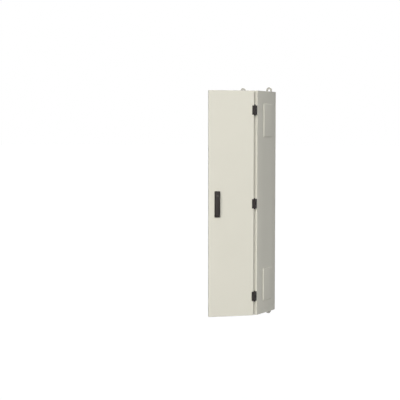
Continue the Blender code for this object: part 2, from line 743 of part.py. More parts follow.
def document_pocket(carrier):
    """A moulded pocket for the circuit diagrams, open at its top."""
    right = DOOR_RIGHT - STIFFENER_FROM_EDGE - STIFFENER_WIDTH - 2 * SHEET
    left = right - POCKET_WIDTH
    low = -TOP + POCKET_ABOVE_END
    high = low + POCKET_HEIGHT
    pocket = add(
        "document_pocket",
        block((left, DOOR_INNER, low), (right, DOOR_INNER + POCKET_DEPTH, high)),
        BLACK_PLASTIC,
        carrier,
    )
    hollow = block(
        (left + POCKET_WALL, DOOR_INNER + POCKET_WALL, low + POCKET_WALL),
        (right - POCKET_WALL, DOOR_INNER + POCKET_DEPTH - POCKET_WALL, high + POCKET_WALL),
    )
    dip = POCKET_DIP
    notch = [
        (left + dip, high + POCKET_WALL),
        (left + dip, high - dip / 2),
        (left + 3 * dip / 2, high - dip),
        (right - 3 * dip / 2, high - dip),
        (right - dip, high - dip / 2),
        (right - dip, high + POCKET_WALL),
    ]
    front = prism(notch, "y", DOOR_INNER + 2 * POCKET_WALL, DOOR_INNER + POCKET_DEPTH + POCKET_WALL)
    cut(pocket, [hollow, front], carrier)


def hinge(name, z, carrier):
    half = HINGE_LEAF_HEIGHT / 2
    reach = HINGE_MIDDLE / 2
    knuckle = HINGE_KNUCKLE / 2
    seat = FRONT - FIT
    bore = prism(circle(HINGE_X, HINGE_Y, HINGE_PIN / 2 + FIT), "z", z - half - FIT, z + half + FIT)

    outline = [(HINGE_X + knuckle, seat), (HINGE_X - knuckle, seat)]
    outline += arc(HINGE_X, HINGE_Y, knuckle, 180, 360, 8)
    body_leaf = add(f"hinge_{name}_body_leaf", prism(outline, "z", z - half, z + half), BLACK_PLASTIC)
    gap = block(
        (HINGE_X - 2 * knuckle, HINGE_Y - 2 * knuckle, z - reach - FIT),
        (HINGE_X + 2 * knuckle, HINGE_Y + 2 * knuckle - FIT, z + reach + FIT),
    )
    cut(body_leaf, [gap, bore])

    leaf_back = DOOR_FRONT - FIT
    leaf_front = leaf_back - HINGE_LEAF_THICKNESS
    clear_x = HINGE_X - knuckle - 3 * FIT
    plate = block((DOOR_RIGHT - HINGE_DOOR_REACH, leaf_front, z - half), (clear_x, leaf_back, z + half))
    door_leaf = add(f"hinge_{name}_door_leaf", plate, BLACK_PLASTIC, carrier)
    bridge = block((clear_x - knuckle, leaf_front, z - reach), (HINGE_X, leaf_back, z + reach))
    barrel = prism(circle(HINGE_X, HINGE_Y, knuckle), "z", z - reach, z + reach)
    join(door_leaf, [bridge, barrel], carrier)
    door_bore = prism(circle(HINGE_X, HINGE_Y, HINGE_PIN / 2 + FIT), "z", z - half, z + half)
    cut(door_leaf, [door_bore], carrier)

    shank = HINGE_PIN / 2
    cap = half + FIT
    shoulder = cap + HINGE_SHOULDER
    tip = cap + HINGE_TIP
    profile = [
        (shank, z - tip),
        (knuckle, z - shoulder),
        (knuckle, z - cap),
        (shank, z - cap),
        (shank, z + cap),
        (knuckle, z + cap),
        (knuckle, z + shoulder),
        (shank, z + tip),
    ]
    add(f"hinge_{name}_pin", turned(profile, HINGE_X, HINGE_Y, "z"), BLACK_PLASTIC)


def out(distance):
    """The Y of a plane this far in front of the door's face."""
    return DOOR_FRONT - distance


def handle_base(carrier):
    half_width, half = HANDLE_WIDTH / 2, HANDLE_LENGTH / 2
    outline = rounded(HANDLE_X - half_width, -half, HANDLE_X + half_width, half, HANDLE_CORNER)
    plate = prism(outline, "y", out(FIT), out(FIT + HANDLE_BASE_THICKNESS))
    base = add("handle_base", plate, BLACK_PLASTIC, carrier)
    bore = circle(HANDLE_X, SPINDLE_Z, SPINDLE_DIAMETER / 2 + FIT)
    cut(base, [prism(bore, "y", out(-SHEET), out(2 * HANDLE_BASE_THICKNESS))], carrier)


def handle_spindle(carrier):
    """The turning fork that carries the lever, in one piece with the shaft through door and pinion."""
    hub_back = FIT + HANDLE_BASE_THICKNESS + FIT
    hub_front = hub_back + HUB_THICKNESS
    half_width = HUB_WIDTH / 2
    plate = block(
        (HANDLE_X - half_width, out(hub_front), HUB_LOW),
        (HANDLE_X + half_width, out(hub_back), HUB_LOW + HUB_HEIGHT),
    )
    spindle = add("handle_spindle", plate, BLACK_PLASTIC, carrier)
    for side in (-1, 1):
        inner, outer = side * (half_width - EAR_THICKNESS), side * half_width
        ear = block(
            (HANDLE_X + min(inner, outer), out(hub_back + EAR_HEIGHT), PIVOT_Z - PIVOT_RADIUS),
            (HANDLE_X + max(inner, outer), out(hub_back), PIVOT_Z + EAR_REACH),
        )
        join(spindle, [ear], carrier)
    shaft_end = LOCK_CASE_WEB + LOCK_CASE_WALL + SHAFT_BEYOND_CASE
    shaft = prism(circle(HANDLE_X, SPINDLE_Z, SPINDLE_DIAMETER / 2), "y", out(hub_front - FIT), shaft_end)
    join(spindle, [shaft], carrier)
    pin_hole = prism(
        circle(out(PIVOT_HEIGHT), PIVOT_Z, LEVER_PIN / 2 + FIT, SMALL_ROUND),
        "x",
        HANDLE_X - HUB_WIDTH,
        HANDLE_X + HUB_WIDTH,
    )
    cut(spindle, [pin_hole], carrier)
    pin = turned(
        [(LEVER_PIN / 2, HANDLE_X - half_width), (LEVER_PIN / 2, HANDLE_X + half_width)],
        out(PIVOT_HEIGHT),
        PIVOT_Z,
        "x",
        SMALL_ROUND,
    )
    add("lever_pin", pin, BLACK_PLASTIC, carrier)


def lever_top(z):
    """How far the lever's back stands out at a height: a shallow arch, highest at mid-length."""
    reach = HANDLE_LENGTH / 2
    rise = LEVER_PEAK - LEVER_END_HEIGHT
    return LEVER_END_HEIGHT + rise * math.cos(math.pi / 2 * z / reach)


def handle_lever(carrier):
    """A slightly arched bar, hollow behind, hinged on the fork at its lower end."""
    over_hub = 2 * FIT + HANDLE_BASE_THICKNESS + HUB_THICKNESS + LEVER_CLEARANCE
    root = PIVOT_Z + LEVER_ROOT
    top = HANDLE_LENGTH / 2 - LEVER_INSET
    hub_end = HUB_LOW + HUB_HEIGHT + LEVER_CLEARANCE
    outline = [
        (root, over_hub),
        (hub_end, over_hub),
        (hub_end + LEVER_SLOPE, LEVER_FLOOR),
        (top, LEVER_FLOOR),
    ]
    steps = 14
    outline += [(z, lever_top(z)) for z in (top + (root - top) * i / steps for i in range(steps + 1))]
    half = LEVER_WIDTH / 2
    profile = [(out(o), z) for z, o in outline]
    body = prism(profile, "x", HANDLE_X - half, HANDLE_X + half)
    lever = add("handle_lever", body, BLACK_PLASTIC, carrier)

    meets_hub = 360 + math.degrees(math.asin((over_hub - PIVOT_HEIGHT) / PIVOT_RADIUS))
    tongue = arc(PIVOT_Z, PIVOT_HEIGHT, PIVOT_RADIUS, 90, meets_hub, 10)
    tongue += [(root + LEVER_PIN, over_hub), (root + LEVER_PIN, lever_top(root) - FIT)]
    inner = HUB_WIDTH / 2 - EAR_THICKNESS - FIT
    join(
        lever,
        [prism([(out(o), z) for z, o in tongue], "x", HANDLE_X - inner, HANDLE_X + inner)],
        carrier,
    )
    pin_hole = circle(out(PIVOT_HEIGHT), PIVOT_Z, LEVER_PIN / 2 + FIT, SMALL_ROUND)
    cut(lever, [prism(pin_hole, "x", HANDLE_X - half, HANDLE_X + half)], carrier)
    bore = circle(HANDLE_X, CYLINDER_Z, CYLINDER_DIAMETER / 2 + FIT)
    cut(lever, [prism(bore, "y", out(LEVER_FLOOR + CYLINDER_SEAT), out(2 * LEVER_PEAK))], carrier)
    hollow = block(
        (HANDLE_X - half + LEVER_WALL, out(LEVER_FLOOR + HOLLOW_DEPTH), hub_end + LEVER_SLOPE + LEVER_WALL),
        (HANDLE_X + half - LEVER_WALL, out(LEVER_FLOOR - LEVER_CLEARANCE), CYLINDER_Z - HOLLOW_FROM_CYLINDER),
    )
    cut(lever, [hollow], carrier)


def lock_cylinder(carrier):
    face = lever_top(CYLINDER_Z) + CYLINDER_PROUD
    radius = CYLINDER_DIAMETER / 2
    profile = [(radius, out(LEVER_FLOOR + CYLINDER_SEAT + FIT)), (radius, out(face))]
    cylinder = add("lock_cylinder", turned(profile, HANDLE_X, CYLINDER_Z, "y"), BLACK_CHROME, carrier)
    slot = rectangle(
        HANDLE_X - KEYWAY / 2,
        CYLINDER_Z - 2 * KEYWAY,
        HANDLE_X + KEYWAY / 2,
        CYLINDER_Z + 2 * KEYWAY,
    )
    cut(cylinder, [prism(slot, "y", out(face - 3 * KEYWAY), out(face + KEYWAY))], carrier)


def involute_flank(base, start, end, steps):
    """(radius, angle) along an involute from one radius to another, the angle measured from its foot."""
    points = []
    for i in range(steps + 1):
        radius = start + (end - start) * i / steps
        roll = math.sqrt(max(radius**2 / base**2 - 1, 0))
        points.append((radius, roll - math.atan(roll)))
    return points


def drive_pinion(carrier):
    base = PITCH_RADIUS * math.cos(math.radians(PRESSURE_ANGLE))
    tip = PITCH_RADIUS + ADDENDUM
    root = PITCH_RADIUS - DEDENDUM
    at_pitch = math.tan(math.radians(PRESSURE_ANGLE)) - math.radians(PRESSURE_ANGLE)
    half_tooth = math.pi / (2 * PINION_TEETH) - BACKLASH / (2 * PITCH_RADIUS)
    flank = [(root, 0.0)] + involute_flank(base, base, tip, 4)
    outline = []
    for tooth in range(PINION_TEETH):
        middle = 2 * math.pi * tooth / PINION_TEETH
        rising = [(r, middle - half_tooth - at_pitch + a) for r, a in flank]
        falling = [(r, middle + half_tooth + at_pitch - a) for r, a in reversed(flank)]
        outline += [(HANDLE_X + r * math.cos(t), SPINDLE_Z + r * math.sin(t)) for r, t in rising + falling]
    bore = circle(HANDLE_X, SPINDLE_Z, SPINDLE_DIAMETER / 2 + FIT)
    half = PINION_WIDTH / 2
    pinion = add("drive_pinion", prism(outline, "y", ROD_MIDDLE - half, ROD_MIDDLE + half), ZINC, carrier)
    cut(pinion, [prism(bore, "y", ROD_MIDDLE - PINION_WIDTH, ROD_MIDDLE + PINION_WIDTH)], carrier)


def rack_edge(side, low, high):
    """The toothed edge of a rack beside the pinion, from low to high, as (x, z) points."""
    pitch = math.pi * MODULE
    slope = math.tan(math.radians(PRESSURE_ANGLE))
    half_pitch_line = pitch / 4 - BACKLASH / 2
    tip_half = half_pitch_line - ADDENDUM * slope
    root_half = half_pitch_line + DEDENDUM * slope
    # The pinion has a tooth at its right and a space at its left, so the racks are half a pitch apart.
    offset = pitch / 2 if side > 0 else 0.0
    tip_x = HANDLE_X + side * (PITCH_RADIUS - ADDENDUM)
    root_x = HANDLE_X + side * ROD_INNER
    first = math.ceil((low - SPINDLE_Z - offset) / pitch)
    last = math.floor((high - SPINDLE_Z - offset) / pitch)
    points = []
    for tooth in range(first, last + 1):
        z = SPINDLE_Z + offset + tooth * pitch
        points += [(root_x, z - root_half), (tip_x, z - tip_half)]
        points += [(tip_x, z + tip_half), (root_x, z + root_half)]
    return points


def lock_rod(side, level, carrier):
    """A flat rod with its rack beside the pinion: side 1 locks at the top and -1 at the bottom."""
    margin = 2 * math.pi * MODULE
    near, far = SPINDLE_Z - side * margin, SPINDLE_Z + side * (ROD_TRAVEL + margin)
    teeth = rack_edge(side, min(near, far), max(near, far))
    inner = HANDLE_X + side * ROD_INNER
    outer = inner + side * ROD_WIDTH
    start = SPINDLE_Z - side * (margin + MODULE)
    if side < 0:
        teeth = teeth[::-1]
    outline = [(outer, start), (inner, start)] + teeth
    outline += [
        (inner, side * (ROD_END - ROD_TIP)),
        (inner + side * ROD_TIP, side * ROD_END),
        (outer - side * ROD_TIP, side * ROD_END),
        (outer, side * (ROD_END - ROD_TIP)),
    ]
    add(f"{level}_lock_rod", prism(outline, "y", ROD_FRONT, ROD_BACK), ZINC, carrier)


def lock_case(carrier):
    """A hat-shaped cover over the pinion, open at both ends for the rods, with a bearing for the shaft."""
    half = LOCK_CASE_HALF
    back = LOCK_CASE_WEB + LOCK_CASE_WALL
    wall = LOCK_CASE_WALL
    profile = [
        (-half - LOCK_CASE_FOOT, DOOR_INNER),
        (-half + wall, DOOR_INNER),
        (-half + wall, LOCK_CASE_WEB),
        (half - wall, LOCK_CASE_WEB),
        (half - wall, DOOR_INNER),
        (half + LOCK_CASE_FOOT, DOOR_INNER),
        (half + LOCK_CASE_FOOT, DOOR_INNER + wall),
        (half, DOOR_INNER + wall),
        (half, back),
        (-half, back),
        (-half, DOOR_INNER + wall),
        (-half - LOCK_CASE_FOOT, DOOR_INNER + wall),
    ]
    low, high = SPINDLE_Z - LOCK_CASE_HEIGHT / 2, SPINDLE_Z + LOCK_CASE_HEIGHT / 2
    shell = prism([(HANDLE_X + x, y) for x, y in profile], "z", low, high)
    case = add("lock_case", shell, ZINC, carrier)
    bearing = circle(HANDLE_X, SPINDLE_Z, SPINDLE_DIAMETER / 2 + FIT)
    cut(case, [prism(bearing, "y", LOCK_CASE_WEB - wall, back + wall)], carrier)


def rod_guide(side, level, carrier):
    """A moulded post on the door's inner face with a slot that the rod slides through."""
    middle = HANDLE_X + side * ROD_CENTRE
    half = ROD_WIDTH / 2 + GUIDE_WALL
    high = TOP - FRONT_FLANGE - GUIDE_BELOW_FLANGE
    low = high - GUIDE_HEIGHT
    ends = sorted((side * low, side * high))
    back = ROD_BACK + GUIDE_WALL
    post = block((middle - half, DOOR_INNER, ends[0]), (middle + half, back, ends[1]))
    guide = add(f"{level}_rod_guide", post, BLACK_PLASTIC, carrier)
    slot_half = ROD_WIDTH / 2 + GUIDE_CLEARANCE
    slot = block(
        (middle - slot_half, ROD_FRONT - GUIDE_CLEARANCE, ends[0] - GUIDE_WALL),
        (middle + slot_half, ROD_BACK + GUIDE_CLEARANCE, ends[1] + GUIDE_WALL),
    )
    cut(guide, [slot], carrier)


def build_door():
    door = Carrier("door_axis", (HINGE_X, HINGE_Y, 0), turn=DOOR_OPEN)
    door_panel(door)
    door_gasket(door)
    door_stiffener(door)
    document_pocket(door)
    for name, z in (("lower", HINGE_FROM_END - TOP), ("middle", 0), ("upper", TOP - HINGE_FROM_END)):
        hinge(name, z, door)
    handle_base(door)
    lock_case(door)
    hub = Carrier("handle_axis", (HANDLE_X, DOOR_FRONT, SPINDLE_Z), door)
    handle_spindle(hub)
    drive_pinion(hub)
    lever = Carrier("lever_axis", (HANDLE_X, out(PIVOT_HEIGHT), PIVOT_Z), hub)
    handle_lever(lever)
    lock_cylinder(Carrier("cylinder_axis", (HANDLE_X, out(PIVOT_HEIGHT), CYLINDER_Z), lever))
    for side in (-1, 1):
        level = "upper" if side > 0 else "lower"
        lock_rod(side, level, Carrier(f"{level}_rod_axis", (HANDLE_X, ROD_MIDDLE, 0), door))
        rod_guide(side, level, door)


clear_scene()
build_body()
build_door()
bpy.context.view_layer.update()
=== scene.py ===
import json
import math

import bmesh
import bpy
import numpy as np
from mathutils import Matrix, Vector

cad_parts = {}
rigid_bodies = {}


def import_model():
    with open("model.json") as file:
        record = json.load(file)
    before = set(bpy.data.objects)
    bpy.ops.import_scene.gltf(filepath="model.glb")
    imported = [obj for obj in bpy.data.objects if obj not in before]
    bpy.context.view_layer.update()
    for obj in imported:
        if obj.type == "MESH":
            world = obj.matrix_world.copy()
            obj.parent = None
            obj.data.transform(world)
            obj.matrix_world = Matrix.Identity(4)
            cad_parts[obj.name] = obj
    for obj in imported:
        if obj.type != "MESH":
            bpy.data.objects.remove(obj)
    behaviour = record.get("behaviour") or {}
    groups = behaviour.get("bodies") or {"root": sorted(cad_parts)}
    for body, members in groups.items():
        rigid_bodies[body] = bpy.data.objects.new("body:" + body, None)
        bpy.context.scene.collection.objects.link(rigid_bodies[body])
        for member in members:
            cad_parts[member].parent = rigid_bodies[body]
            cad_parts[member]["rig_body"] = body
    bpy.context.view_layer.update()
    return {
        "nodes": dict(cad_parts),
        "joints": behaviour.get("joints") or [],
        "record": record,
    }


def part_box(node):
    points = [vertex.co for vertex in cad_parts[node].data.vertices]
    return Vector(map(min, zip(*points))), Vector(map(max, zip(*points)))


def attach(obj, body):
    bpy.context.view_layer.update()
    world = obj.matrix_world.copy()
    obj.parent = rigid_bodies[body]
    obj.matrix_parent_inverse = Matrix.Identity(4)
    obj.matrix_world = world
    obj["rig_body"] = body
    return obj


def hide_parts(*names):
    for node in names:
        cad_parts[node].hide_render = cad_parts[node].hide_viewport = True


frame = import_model()
print("frame loaded:", len(frame["nodes"]), "nodes")

joints = {joint["name"]: joint for joint in frame["joints"]}
hingeLine = np.array(joints["door_hinge"]["pos_m"])
restAngle = math.radians(-joints["door_hinge"]["range_deg"][0])  # how far the door stands open
sheet = 0.0015  # gauge of the cabinet's sheet steel
bend = 0.0012  # inner radius of a fold
fit = 0.0003  # air between neighbouring pieces
overrun = 0.002  # how far a cutting shape reaches past what it cuts
shortOverrun = 0.001
longOverrun = 0.010
forwards, backwards = (0, -1, 0), (0, 1, 0)


# ---- places read from the frame

def swung(points, angle=restAngle):
    # turns points about the upright hinge line by the angle
    x, y, z = (np.asarray(points) - hingeLine).T
    c, s = math.cos(angle), math.sin(angle)
    return np.stack([c * x - s * y, s * x + c * y, z], 1) + hingeLine


def nodePoints(node):
    mesh = frame["nodes"][node].data
    flat = np.empty(3 * len(mesh.vertices), np.float32)
    mesh.vertices.foreach_get("co", flat)
    return flat.reshape(-1, 3).astype(float)


def shutBox(node):
    # a door node's lowest and highest corners with the door turned shut
    points = swung(nodePoints(node), -restAngle)
    return points.min(0), points.max(0)


def openBox(node):
    low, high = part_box(node)
    return np.array(low), np.array(high)


def centreOf(box):
    return (box[0] + box[1]) / 2


def reaches(box, axis):
    # the box's nearest and farthest distances from the middle plane across the axis
    return sorted(abs(corner[axis]) for corner in box)


# ---- outlines, as arrays of two coordinates

def filleted(corners, radii, steps=4):
    # rounds each corner: tangent points lie r / tan(half the corner's angle) away, and one radius vector
    # turns evenly into the other between them
    corners = np.array(corners, float)
    radii = np.broadcast_to(np.asarray(radii, float), len(corners))
    before = np.roll(corners, 1, 0) - corners
    after = np.roll(corners, -1, 0) - corners
    before /= np.linalg.norm(before, axis=1)[:, None]
    after /= np.linalg.norm(after, axis=1)[:, None]
    half = np.arccos(np.clip((before * after).sum(1), -1, 1)) / 2
    middle = before + after
    middle /= np.linalg.norm(middle, axis=1)[:, None]
    centre = corners + middle * (radii / np.sin(half))[:, None]
    reach = (radii / np.tan(half))[:, None]
    first, last = corners + before * reach - centre, corners + after * reach - centre
    span = (np.pi - 2 * half)[:, None, None]
    t = np.linspace(0, 1, steps + 1)[None, :, None]
    arcs = (np.sin((1 - t) * span) * first[:, None] + np.sin(t * span) * last[:, None]) / np.sin(span)
    return (centre[:, None] + arcs).reshape(-1, 2)


def roundedRectangle(u0, v0, u1, v1, radius, steps=5):
    return filleted([(u0, v0), (u1, v0), (u1, v1), (u0, v1)], radius, steps)


def circleOutline(u, v, radius, count=32):
    # radius times the cosine and sine of evenly spread angles
    turn = np.linspace(0, 2 * np.pi, count, endpoint=False)
    return np.stack([u + radius * np.cos(turn), v + radius * np.sin(turn)], 1)


def hexagonOutline(acrossFlats, count=24):
    # a circle's points pulled in to the six flats: half the width over the cosine of the angle from a
    # flat's middle
    turn = np.linspace(0, 2 * np.pi, count, endpoint=False)
    off = (turn + np.pi / 6) % (np.pi / 3) - np.pi / 6
    radius = acrossFlats / 2 / np.cos(off)
    return np.stack([radius * np.cos(turn), radius * np.sin(turn)], 1)


def sheetOutline(path, gauge=sheet, inner=bend, steps=4):
    # a folded sheet's section: its path, and the same path a gauge to its left, with each fold's two radii
    # and the cut edges eased by an eighth of the gauge
    path = np.array(path, float)
    along = np.diff(path, axis=0)
    along /= np.linalg.norm(along, axis=1)[:, None]
    left = np.stack([-along[:, 1], along[:, 0]], 1)
    before, after = np.vstack([left[:1], left]), np.vstack([left, left[-1:]])
    offset = (before + after) / (1 + (before * after).sum(1))[:, None] * gauge
    turnsLeft = along[:-1, 0] * along[1:, 1] - along[:-1, 1] * along[1:, 0] > 0
    edge = gauge / 8
    near = np.r_[edge, np.where(turnsLeft, inner + gauge, inner), edge]
    far = np.r_[edge, np.where(turnsLeft, inner, inner + gauge), edge]
    return filleted(np.vstack([path, (path + offset)[::-1]]), np.r_[near, far[::-1]], steps)


def boxOutline(box, axis, inset, radius, steps=5):
    # a box's rounded rectangle as seen along the axis, drawn in by the inset
    low, high = np.delete(box, "xyz".index(axis), 1)
    return roundedRectangle(*(low + inset), *(high - inset), radius, steps)


# ---- shapes, as a pair of points and faces

def raised(outline, axis, where):
    # puts an outline's two coordinates and a place along the axis in order
    u, v = np.asarray(outline, float).T
    w = np.full_like(u, where)
    return np.stack({"x": (w, u, v), "y": (u, w, v), "z": (u, v, w)}[axis], 1)


def loft(loops, closed=False):
    # joins loops of as many points each, in turn; closed joins the last to the first, and otherwise both
    # ends are capped
    loops = np.asarray(loops, float)
    rows, count = loops.shape[:2]
    index = np.arange(rows * count).reshape(rows, count)
    start = index if closed else index[:-1]
    end = np.roll(index, -1, 0) if closed else index[1:]
    quads = np.stack([start, np.roll(start, -1, 1), np.roll(end, -1, 1), end], 2).reshape(-1, 4).tolist()
    caps = [] if closed else [index[0][::-1].tolist(), index[-1].tolist()]
    return loops.reshape(-1, 3), quads + caps


def extruded(outline, axis, start, end):
    return loft([raised(outline, axis, start), raised(outline, axis, end)])


def block(low, high):
    return extruded(
        [(low[0], low[1]), (high[0], low[1]), (high[0], high[1]), (low[0], high[1])], "z", low[2], high[2]
    )


def between(start, end):
    # a block between any two opposite corners
    return block(np.minimum(start, end), np.maximum(start, end))


def lathed(profile, sides=32):
    # turns (radius, height) pairs about the Z axis
    return loft([raised(circleOutline(0, 0, radius, sides), "z", height) for radius, height in profile])


def merged(shapes):
    points, faces, count = [], [], 0
    for vertices, polygons in shapes:
        points.append(vertices)
        faces += [[corner + count for corner in polygon] for polygon in polygons]
        count += len(vertices)
    return np.vstack(points), faces


def aimed(shape, direction):
    # turns a shape made along +Z so that it points in the direction
    w = np.array(direction, float)
    w /= np.linalg.norm(w)
    u = np.cross((0, 0, 1), w) if abs(w[2]) < 0.9 else np.array((1.0, 0, 0))
    u /= np.linalg.norm(u)
    v = np.cross(w, u)
    return shape[0] @ np.stack([u, v, w]), shape[1]


def repeated(shape, places):
    # the same shape at every place, as one array sum
    places = np.atleast_2d(np.asarray(places, float))
    points = (places[:, None] + shape[0][None]).reshape(-1, 3)
    size = len(shape[0])
    faces = [[corner + k * size for corner in face] for k in range(len(places)) for face in shape[1]]
    return points, faces


def panHead(radius, height, socket):
    # a domed head with a six-sided recess: circles up the dome, then the recess down from its top
    rim, recess = 0.35 * height, 0.4 * height
    loops = [raised(circleOutline(0, 0, radius, 24), "z", 0)]
    loops += [
        raised(circleOutline(0, 0, radius * math.cos(a), 24), "z", rim + (height - rim) * math.sin(a))
        for a in np.linspace(0, np.pi / 2.6, 4)
    ]
    loops += [raised(hexagonOutline(socket), "z", h) for h in (loops[-1][0][2], recess)]
    return loft(loops)


def hexBolt(acrossFlats, height, washer=0.0, washerHeight=0.0012):
    # a washer's circle, then a hexagon whose top corners are turned off to a circle
    chamferStart, crownRadius = 0.88 * height, 0.47 * acrossFlats
    loops = []
    if washer:
        loops += [raised(circleOutline(0, 0, washer / 2, 24), "z", h) for h in (0, washerHeight)]
    start = washerHeight if washer else 0
    loops += [raised(hexagonOutline(acrossFlats), "z", h) for h in (start, chamferStart)]
    loops.append(raised(circleOutline(0, 0, crownRadius, 24), "z", height))
    return loft(loops)


def slotOutline(wide, tall):
    # a rectangle whose ends are all but half circles
    radius = 0.99 * min(wide, tall) / 2
    return roundedRectangle(-wide / 2, -tall / 2, wide / 2, tall / 2, radius)


# ---- finishes

def linear(hexColour):
    # sRGB to linear: a straight slope near black, else a power of 2.4
    srgb = np.array([int(hexColour[i : i + 2], 16) / 255 for i in (0, 2, 4)])
    light = np.where(srgb <= 0.04045, srgb / 12.92, ((srgb + 0.055) / 1.055) ** 2.4)
    return (*light.tolist(), 1.0)


def addNode(tree, kind, settings=None, inputs=None):
    # one node with its settings; an input that is a socket is linked, and any other is a value
    node = tree.nodes.new(kind)
    for name, value in (settings or {}).items():
        setattr(node, name, value)
    for name, value in (inputs or {}).items():
        if isinstance(value, bpy.types.NodeSocket):
            tree.links.new(value, node.inputs[name])
        else:
            node.inputs[name].default_value = value
    return node


noiseSpan = (0.3, 0.7)  # nearly all of a noise lies between these


def surfaceFinish(look):
    # colour drifts softly between two tones, roughness drifts with a finer noise, and the grain lifts the
    # surface
    material = bpy.data.materials.new(look["name"])
    material.use_nodes = True
    tree = material.node_tree
    shader = tree.nodes["Principled BSDF"]
    place = addNode(tree, "ShaderNodeTexCoord").outputs["Object"]
    if "stretch" in look:
        place = addNode(
            tree, "ShaderNodeMapping", {"vector_type": "POINT"}, {"Vector": place, "Scale": look["stretch"]}
        ).outputs["Vector"]
    scale = 1000 / look["driftMm"]
    drift = addNode(tree, "ShaderNodeTexNoise", None, {"Vector": place, "Scale": scale, "Detail": 3.0})
    tone = addNode(
        tree,
        "ShaderNodeMix",
        {"data_type": "RGBA"},
        {"Factor": drift.outputs["Fac"], "A": linear(look["colour"]), "B": linear(look["otherColour"])},
    )
    tree.links.new(tone.outputs["Result"], shader.inputs["Base Color"])
    scale = 1000 / look["grainMm"]
    grain = addNode(tree, "ShaderNodeTexNoise", None, {"Vector": place, "Scale": scale, "Detail": 2.0})
    start, end = noiseSpan
    low, high = look["roughness"]
    rough = addNode(
        tree,
        "ShaderNodeMapRange",
        None,
        {"Value": grain.outputs["Fac"], "From Min": start, "From Max": end, "To Min": low, "To Max": high},
    )
    tree.links.new(rough.outputs["Result"], shader.inputs["Roughness"])
    relief = look["reliefMm"] / 1000
    lift = addNode(
        tree, "ShaderNodeBump", None, {"Height": grain.outputs["Fac"], "Distance": relief, "Strength": 1.0}
    )
    tree.links.new(lift.outputs["Normal"], shader.inputs["Normal"])
    shader.inputs["Metallic"].default_value = look.get("metallic", 0.0)
    if "ior" in look:
        shader.inputs["IOR"].default_value = look["ior"]
    return material


finishes = {
    # polyester powder baked on sheet steel: a satin skin with a faint orange peel
    "cabinetPaint": dict(
        name="lightGreyPowderCoat", colour="dedbcd", otherColour="dad7c9",
        driftMm=180, grainMm=2.4, reliefMm=0.035, roughness=(0.58, 0.66), ior=1.5,
    ),
    # steel strip with bright blue-passivated zinc: even, slightly cloudy, mirror-like only in the folds
    "zincSteel": dict(
        name="zincPlatedSteel", colour="b3b7b9", otherColour="a2a6aa",
        driftMm=14, grainMm=3.0, reliefMm=0.01, roughness=(0.30, 0.42), metallic=1.0,
    ),
    # zinc die casting with black powder coat: near black, with a fine dry grain
    "blackCasting": dict(
        name="blackPowderCoatedCasting", colour="1a1412", otherColour="201a18",
        driftMm=40, grainMm=0.9, reliefMm=0.03, roughness=(0.44, 0.58), ior=1.38,
    ),
    # moulded polyamide: black, matt, faintly mottled
    "blackPlastic": dict(
        name="blackMouldedPolyamide", colour="26262a", otherColour="2d2d30",
        driftMm=25, grainMm=1.2, reliefMm=0.02, roughness=(0.48, 0.60), ior=1.53,
    ),
    # moulded polycarbonate blend of the touch guards: cool light grey with a silk texture
    "guardPlastic": dict(
        name="greyMouldedPolycarbonate", colour="d9dbd8", otherColour="d4d6d3",
        driftMm=60, grainMm=1.4, reliefMm=0.02, roughness=(0.42, 0.52), ior=1.58,
    ),
    # drawn brass bar: warm, with drawing marks along its length
    "barBrass": dict(
        name="drawnBrass", colour="d4b06a", otherColour="c39d57",
        driftMm=6, grainMm=0.8, reliefMm=0.01, roughness=(0.26, 0.40), metallic=1.0, stretch=(0.04, 1.0, 1.0),
    ),
    # black-chromed brass cylinder, turned face: dark and slightly brighter than the castings round it
    "cylinderChrome": dict(
        name="blackChromePlate", colour="4b4845", otherColour="3e3c39",
        driftMm=4, grainMm=0.7, reliefMm=0.006, roughness=(0.26, 0.38), metallic=1.0,
    ),
    # hot-dip galvanised steel of the wall lugs: duller and warmer than plated strip, in faint cloudy spangles
    "galvanisedSteel": dict(
        name="galvanisedSteel", colour="aeaca4", otherColour="a09e97",
        driftMm=9, grainMm=2.0, reliefMm=0.02, roughness=(0.46, 0.60), metallic=1.0,
    ),
    # foamed rubber strip: black and matt, with open pores
    "gasketRubber": dict(
        name="foamedRubber", colour="1f1f20", otherColour="2a2a2b",
        driftMm=9, grainMm=1.1, reliefMm=0.12, roughness=(0.80, 0.92), ior=1.45,
    ),
    # matt white insert strip of the label holders
    "labelCard": dict(
        name="matWhiteCard", colour="eeeeea", otherColour="e8e8e4",
        driftMm=30, grainMm=1.0, reliefMm=0.008, roughness=(0.60, 0.72), ior=1.45,
    ),
}
materials = {key: surfaceFinish(look) for key, look in finishes.items()}
slotFinish = {
    "cabinet_paint": "cabinetPaint",
    "zinc_steel": "zincSteel",
    "black_fittings": "blackCasting",
    "black_plastic": "blackPlastic",
    "guard_plastic": "guardPlastic",
    "bar_brass": "barBrass",
    "cylinder_chrome": "cylinderChrome",
    "gasket_rubber": "gasketRubber",
}
finishSlot = {key: slot for slot, key in slotFinish.items()}
finishSlot |= {"labelCard": "guard_plastic", "galvanisedSteel": "zinc_steel"}
nodeSlot = {entry["node"]: entry["material_slot"] for entry in frame["record"]["subparts"]}
for node, obj in frame["nodes"].items():
    obj.data.materials.clear()
    obj.data.materials.append(materials[slotFinish[nodeSlot[node]]])
print("finishes made:", len(materials))


# ---- making pieces

doorBodies = ("door", "handle_hub", "lever", "cylinder", "upper_rod", "lower_rod")
smoothDegrees = 35  # edges sharper than this stay crisp
easedDegrees = 40  # edges sharper than this are eased


def inScene(name, data):
    obj = bpy.data.objects.new(name, data)
    bpy.context.scene.collection.objects.link(obj)
    return obj


def hung(shape, body):
    # a shape for the door is given as if the door were shut, and swung open here
    return (swung(shape[0]), shape[1]) if body in doorBodies else shape


